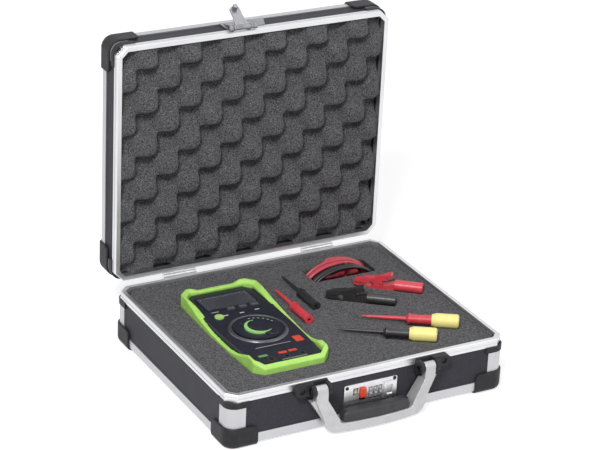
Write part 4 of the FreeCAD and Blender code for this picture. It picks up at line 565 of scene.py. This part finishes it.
keeper_rise = 1.2 * mm
lock_face_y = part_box("lock_plate")[0].y + keeper_rise
lock_head = ((0, -0.3), (2.1, -0.3), (2.1, 0.3), (1.6, 0.65), (0.9, 0.75), (0.9, 0.1), (0, 0.1))
lock_head_places = ((-29.6, 44.6), (-29.6, 21.4), (29.8, 45.6), (29.8, 20.8))
lock_screws = bmesh.new()
for x, up in lock_head_places:
    turned(lock_screws, lock_head, Matrix.Translation((x * mm, lock_face_y, up * mm)) @ front_turn,
           steps=20)
closed(lock_screws)
new_piece("lock_screws", from_bmesh(lock_screws, "lock_screws"), black_steel,
          "base")

catch_cream = moulded("catch cream", (0.62, 0.58, 0.42), (0.7, 0.66, 0.5),
                      rough=0.45, pebble=1500, depth=0.04 * mm)
catch_place = Matrix.Translation((-16.95 * mm, lock_face_y + 5.2 * mm, 38.5 * mm)) @ front_turn
catch = bmesh.new()
plate(catch, width=2.9 * mm, height=8.4 * mm, thick=5.0 * mm, place=catch_place, soft=0.3 * mm)
new_piece("lock_catch", from_bmesh(catch, "lock_catch"), catch_cream, "base")

release_red = moulded("release red", (0.62, 0.05, 0.02), (0.74, 0.085, 0.035),
                      rough=0.36, pebble=1500, depth=0.04 * mm)
rib_count, rib_pitch, rib_inset = 4, 2.2 * mm, 1.2 * mm
rib_height, rib_thick = 0.9 * mm, 0.8 * mm
low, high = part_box("lock_release_button")
middle, size = (low + high) / 2, high - low
slide = bmesh.new()
plate(slide, size.x, size.z, size.y, Matrix.Translation(middle) @ front_turn, soft=0.5 * mm)
for number in range(1, rib_count + 1):
    rib_place = Matrix.Translation((middle.x, low.y, low.z + number * rib_pitch)) @ front_turn
    plate(slide, size.x - rib_inset, rib_height, rib_thick, rib_place, soft=0.25 * mm)
release = new_piece("lock_release_slide", from_bmesh(slide, "release"), release_red,
                    "lock_release")
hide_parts("lock_release_button")

dial_grey = moulded("dial grey", (0.2, 0.2, 0.205), (0.28, 0.28, 0.285),
                    rough=0.42, pebble=1500, depth=0.04 * mm)
dial_ink = moulded("dial ink", (0.78, 0.78, 0.76), (0.84, 0.84, 0.82),
                   rough=0.5, pebble=1500, depth=0.03 * mm)
dial_radius = 8 * mm
figure_count, figure_height, figure_thick = 10, 3.6 * mm, 0.5 * mm
for number in (1, 2, 3):
    name = f"lock_dial_{number}"
    dress(dial_grey, name)
    low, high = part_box(name)
    figures = bmesh.new()
    for digit in range(figure_count):
        figure = number_mesh(str(digit), figure_height, figure_thick)
        round_dial = Matrix.Rotation(2 * math.pi * digit / figure_count, 4, "X")
        figure.transform(Matrix.Translation((low + high) / 2) @ round_dial
                         @ Matrix.Translation((0, -dial_radius, 0)) @ front_turn)
        figures.from_mesh(figure)
    closed(figures)
    new_piece(f"{name}_figures", from_bmesh(figures, "figures"), dial_ink, name)


# Holster: lime rubber moulded round the meter, with thick bumpers at the corners and thin walls
# between. Its mouth opens round the face, and its foot end slopes down.
def cut_from(mesh, tool):
    """A mesh with another mesh's form taken out of it."""
    kept, taken = [bpy.data.objects.new("cut", made) for made in (mesh, tool)]
    for made in (kept, taken):
        bpy.context.scene.collection.objects.link(made)
    cut = kept.modifiers.new("cut", "BOOLEAN")
    cut.operation = "DIFFERENCE"
    cut.object = taken
    graph = bpy.context.evaluated_depsgraph_get()
    made = bpy.data.meshes.new_from_object(kept.evaluated_get(graph))
    bpy.data.objects.remove(kept)
    bpy.data.objects.remove(taken)
    made.materials.clear()
    return made


low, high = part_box("meter_front_shell")
face_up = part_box("meter_window")[1].z
meter_face = Matrix.Translation(((low.x + high.x) / 2, (low.y + high.y) / 2, face_up))
holster_rubber = moulded("holster rubber", (0.4, 0.72, 0.13), (0.47, 0.8, 0.18),
                         rough=0.5, pebble=1800, depth=0.12 * mm)
mouth_side, mouth_end, mouth_corner = 41.5 * mm, 92 * mm, 7 * mm
mouth_floor, mouth_depth = 0.1 * mm, 30 * mm
foot_edge, foot_slope = -0.3 * mm, 0.55
mouth = bmesh.new()
plate(mouth, 2 * mouth_side, 2 * mouth_end, mouth_depth,
      meter_face @ Matrix.Translation((0, 0, mouth_floor + mouth_depth / 2)))
upright_edges = [edge for edge in mouth.edges
                 if abs(edge.verts[0].co.z - edge.verts[1].co.z) > mm]
bmesh.ops.bevel(mouth, geom=upright_edges, offset=mouth_corner, affect="EDGES", segments=1,
                profile=0.5, material=-1)
holster_shape = bmesh.new()
holster_shape.from_mesh(cut_from(node_copy("meter_holster"), from_bmesh(mouth, "mouth")))
foot_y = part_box("meter_holster")[0].y
bmesh.ops.bisect_plane(
    holster_shape, geom=holster_shape.verts[:] + holster_shape.edges[:] + holster_shape.faces[:],
    plane_co=(0, foot_y, face_up + foot_edge), plane_no=(0, -foot_slope, 1), clear_outer=True)
open_edges = [edge for edge in holster_shape.edges if edge.is_boundary]
bmesh.ops.holes_fill(holster_shape, edges=open_edges)
closed(holster_shape)
holster = new_piece("meter_holster_soft",
                    soft_copy(from_bmesh(holster_shape, "holster"), voxel=0.9 * mm, rounds=4),
                    holster_rubber, "meter")
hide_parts("meter_holster")

# Meter: a two-part navy plastic housing, screwed together over a circuit board and two cells,
# with a dark display behind a clear window, rubber keys and three sockets.
key_grey = moulded("key grey", (0.07, 0.07, 0.08), (0.11, 0.11, 0.12),
                   rough=0.5, pebble=2200, depth=0.08 * mm)
dress(key_grey, "meter_key_1", "meter_key_2", "meter_key_3")
key_green = moulded("key green", (0.36, 0.62, 0.16), (0.44, 0.7, 0.21),
                    rough=0.45, pebble=2200, depth=0.06 * mm)
dress(key_green, "meter_power_key")
meter_navy = moulded("meter navy", (0.011, 0.012, 0.021), (0.017, 0.018, 0.03),
                     rough=0.42, pebble=2200, depth=0.06 * mm)
dress(meter_navy, "meter_front_shell", "meter_rear_shell", "meter_switch")
for part, name, dark, light, rough, pebble, depth in (
    ("display", "display dark", (0.03, 0.033, 0.043), (0.042, 0.045, 0.058), 0.35, 3000, 0.02 * mm),
    ("sockets", "socket plastic", (0.02, 0.02, 0.022), (0.032, 0.032, 0.034), 0.4, 2500, 0.05 * mm),
    ("board", "circuit green", (0.01, 0.09, 0.035), (0.016, 0.12, 0.05), 0.4, 900, 0.05 * mm),
    ("batteries", "cell jacket", (0.05, 0.05, 0.055), (0.09, 0.09, 0.1), 0.3, 900, 0.02 * mm),
):
    dress(moulded(name, dark, light, rough, pebble, depth), f"meter_{part}")

window_glass, shader = new_finish("display glass")
shader.inputs["Base Color"].default_value = (0.42, 0.44, 0.52, 1)
feed(window_glass, shader.inputs["Roughness"],
     between(window_glass, grain(window_glass, scale=60, detail=3), low=0.05, high=0.12))
shader.inputs["Transmission Weight"].default_value = 0.85
shader.inputs["IOR"].default_value = 1.46
dress(window_glass, "meter_window")


# Prints on the meter's face: plain ticks, lines and colour fields laid on with thick ink, and a
# dark bezel stuck round the window. Each is (x, y, width, height) in mm from the face's middle.
def mark(shape, x, y, width, height, proud=0.12):
    """A raised print on the meter's face, in millimetres, added to a bmesh."""
    place = meter_face @ Matrix.Translation((x * mm, y * mm, 0))
    plate(shape, width * mm, height * mm, 2 * proud * mm, place)


bezel_proud = 0.5
pale_prints = ((-17.9, 33.3, 5.5, 2.0), (2.0, 32.7, 5.5, 2.0), (21.5, 33.8, 5.5, 2.0),
               (-25.9, 44.9, 9.0, 1.0), (-2.5, -51, 43, 0.7), (6, -85.2, 30, 0.7))
bezel_bars = ((0, 82.3, 65, 1.2), (0, 50.7, 65, 1.2), (-32, 66.5, 1.2, 32), (32, 66.5, 1.2, 32))
red_prints = ((30.3, -47.5, 10, 13), (-1.0, -70.2, 10, 4.4), (11.6, -69.6, 10, 4.4))
green_prints = ((-24.7, -69.5, 11, 4.4),)
face_ink = moulded("pale ink", (0.42, 0.46, 0.38), (0.52, 0.56, 0.46),
                   rough=0.5, pebble=2000, depth=0.02 * mm)
ticks = bmesh.new()
for tick in pale_prints:
    mark(ticks, *tick)
new_piece("meter_face_ticks", from_bmesh(ticks, "ticks"), face_ink, "meter")
bezel_dark = moulded("bezel dark", (0.015, 0.016, 0.024), (0.022, 0.023, 0.034),
                     rough=0.4, pebble=2200, depth=0.04 * mm)
bezel = bmesh.new()
for bar in bezel_bars:
    mark(bezel, *bar, bezel_proud)
new_piece("meter_bezel", from_bmesh(bezel, "bezel"), bezel_dark, "meter")
for name, dark, light, fields, slot in (
    ("red", (0.62, 0.055, 0.03), (0.72, 0.085, 0.05), red_prints, "release_red"),
    ("green", (0.1, 0.3, 0.1), (0.15, 0.38, 0.14), green_prints, "key_green"),
):
    ink = moulded(f"{name} ink", dark, light, rough=0.45, pebble=2000, depth=0.02 * mm)
    patches = bmesh.new()
    for field in fields:
        mark(patches, *field)
    new_piece(f"meter_{name}_fields", from_bmesh(patches, name), ink, "meter")


# Rotary switch: a navy knob in a satin metal ring that is pressed into the face, the ring's light
# grey being painted reflection, with a pale green crescent let into the knob and a row of printed
# dashes beside it.
def disc(radius, floor, top, place):
    """A round block about a place's own z."""
    shape = bmesh.new()
    bmesh.ops.create_cone(shape, cap_ends=True, segments=96, radius1=radius, radius2=radius,
                          depth=top - floor,
                          matrix=place @ Matrix.Translation((0, 0, (floor + top) / 2)))
    return from_bmesh(shape, "disc")


switch_y = -10.5 * mm
switch_place = meter_face @ Matrix.Translation((0, switch_y, 0))
# The ring's light grey colour is a painted reflection.
ring_painted_reflection = metal("ring grey painted reflection", (0.1, 0.1, 0.12), (0.15, 0.15, 0.17), rough=0.34, metallic=0.6)
ring_section = ((29.8, 0.2), (29.8, 1.5), (30.6, 2.0), (32.4, 1.9), (33.6, 1.0), (34.0, 0.1),
                (33.2, -0.3), (30.2, -0.3))
ring = bmesh.new()
turned(ring, ring_section, switch_place, steps=96, ring=True)
closed(ring)
new_piece("meter_switch_ring", from_bmesh(ring, "ring"), ring_painted_reflection, "meter")

crescent_green = moulded("crescent green", (0.31, 0.62, 0.19), (0.38, 0.7, 0.25),
                         rough=0.45, pebble=2000, depth=0.03 * mm)
crescent_floor, crescent_top = 1.2 * mm, 3.85 * mm
crescent_radius, bite_radius, bite_offset = 15.8 * mm, 14.6 * mm, 3.4 * mm
bite_turn = Matrix.Rotation(math.radians(22), 4, "Z")
bite_place = switch_place @ bite_turn @ Matrix.Translation((bite_offset, 0, 0))
crescent = bmesh.new()
crescent.from_mesh(cut_from(disc(crescent_radius, crescent_floor, crescent_top, switch_place),
                            disc(bite_radius, 0, 2 * crescent_top, bite_place)))
closed(crescent)
new_piece("meter_switch_crescent", from_bmesh(crescent, "crescent"), crescent_green,
          "meter_switch")

dash_count, dash_first, dash_step = 6, math.radians(22), math.radians(13.5)
dash_radius, dash_up = 23.4 * mm, 1.9 * mm
dashes = bmesh.new()
for number in range(dash_count):
    dash_turn = Matrix.Rotation(dash_first + dash_step * number, 4, "Z")
    plate(dashes, width=0.9 * mm, height=2.6 * mm, thick=0.3 * mm,
          place=switch_place @ dash_turn @ Matrix.Translation((dash_radius, 0, dash_up)))
new_piece("meter_switch_dashes", from_bmesh(dashes, "dashes"), face_ink,
          "meter_switch")

# Test accessories: a slip-on probe, a crocodile clip and a sprung hook in red and in black
# moulded plastic, the hooks with a yellow plunger. They lie in pockets of the foam.
red_plastic = moulded("red plastic", (0.6, 0.042, 0.06), (0.72, 0.068, 0.09),
                      rough=0.38, pebble=1600, depth=0.06 * mm)
black_plastic = moulded("black plastic", (0.02, 0.02, 0.021), (0.032, 0.032, 0.034),
                        rough=0.4, pebble=1600, depth=0.06 * mm)
yellow_plastic = moulded("yellow plastic", (0.93, 0.82, 0.27), (0.97, 0.87, 0.33),
                         rough=0.42, pebble=1600, depth=0.05 * mm)
for colour, plastic in (("red", red_plastic), ("black", black_plastic)):
    dress(plastic, f"{colour}_probe", f"{colour}_clip_body", f"{colour}_clip_lever",
          f"{colour}_hook_body", f"{colour}_lead_plugs")
    dress(yellow_plastic, f"{colour}_hook_plunger")

# Test leads: two soft PVC leads with a shrouded plug at each end, wound on edge in a slot of
# the foam so that only the tops of their loops show.
lead_radius = 1.9 * mm
lead_turns = 3
lead_points_a_turn = 16
lead_middle_x = 91.5 * mm
lead_half_width = 43 * mm
lead_half_height = 28.5 * mm
lead_pitch = 4.2 * mm
lead_sway = 0.03
lead_sway_rate = 0.7
lead_end_radius = 12 * mm
lead_run = 3.8 * mm
lead_up = 37.755 * mm


def lead_route(first, start_y):
    """A lead's route from plug to plug: a half turn out of each plug, and the loops between."""
    swell = 1 / math.cos(math.pi / lead_points_a_turn)
    loops = []
    for number in range(lead_turns * lead_points_a_turn + 1):
        along = 2 * math.pi * number / lead_points_a_turn
        angle = first + along
        sway = (1 + lead_sway * math.sin(lead_sway_rate * along)) * swell
        loops.append(Vector((
            lead_middle_x + lead_half_width * math.cos(angle) * sway,
            start_y + lead_pitch * along / (2 * math.pi),
            lead_up + lead_half_height * math.sin(angle) * sway)))
    onward = -math.copysign(1, math.sin(first))
    inward = Vector((0, 0, 2 * lead_end_radius * onward))
    ends = []
    for point, side in ((loops[0], -onward), (loops[-1], onward)):
        bend = Vector((side * lead_end_radius, 0, 0))
        run = bend.normalized() * lead_run
        ends.append([point + bend, point + bend + inward, point + inward, point + inward - run])
    return ends[0][::-1] + loops + ends[1]


for colour, first, start_y, dark, light in (
    ("black", -math.pi / 2, 64.6 * mm, (0.016, 0.016, 0.017), (0.026, 0.026, 0.028)),
    ("red", math.pi / 2, 81.4 * mm, (0.48, 0.055, 0.075), (0.58, 0.085, 0.105)),
):
    route = lead_route(first, start_y)
    line = bpy.data.curves.new(f"{colour}_lead_line", "CURVE")
    line.dimensions = "3D"
    spline = line.splines.new("NURBS")
    spline.points.add(len(route) - 1)
    for point, place in zip(spline.points, route):
        point.co = (*place, 1)
    spline.order_u = 3
    spline.use_endpoint_u = True
    spline.resolution_u = 6
    line.bevel_depth = lead_radius
    line.bevel_resolution = 4
    line.use_fill_caps = True
    cable = moulded(f"{colour} cable", dark, light, rough=0.34, pebble=1400, depth=0.05 * mm)
    lead = new_piece(f"{colour}_lead_cord", line, cable, "base")
    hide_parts(f"{colour}_lead")
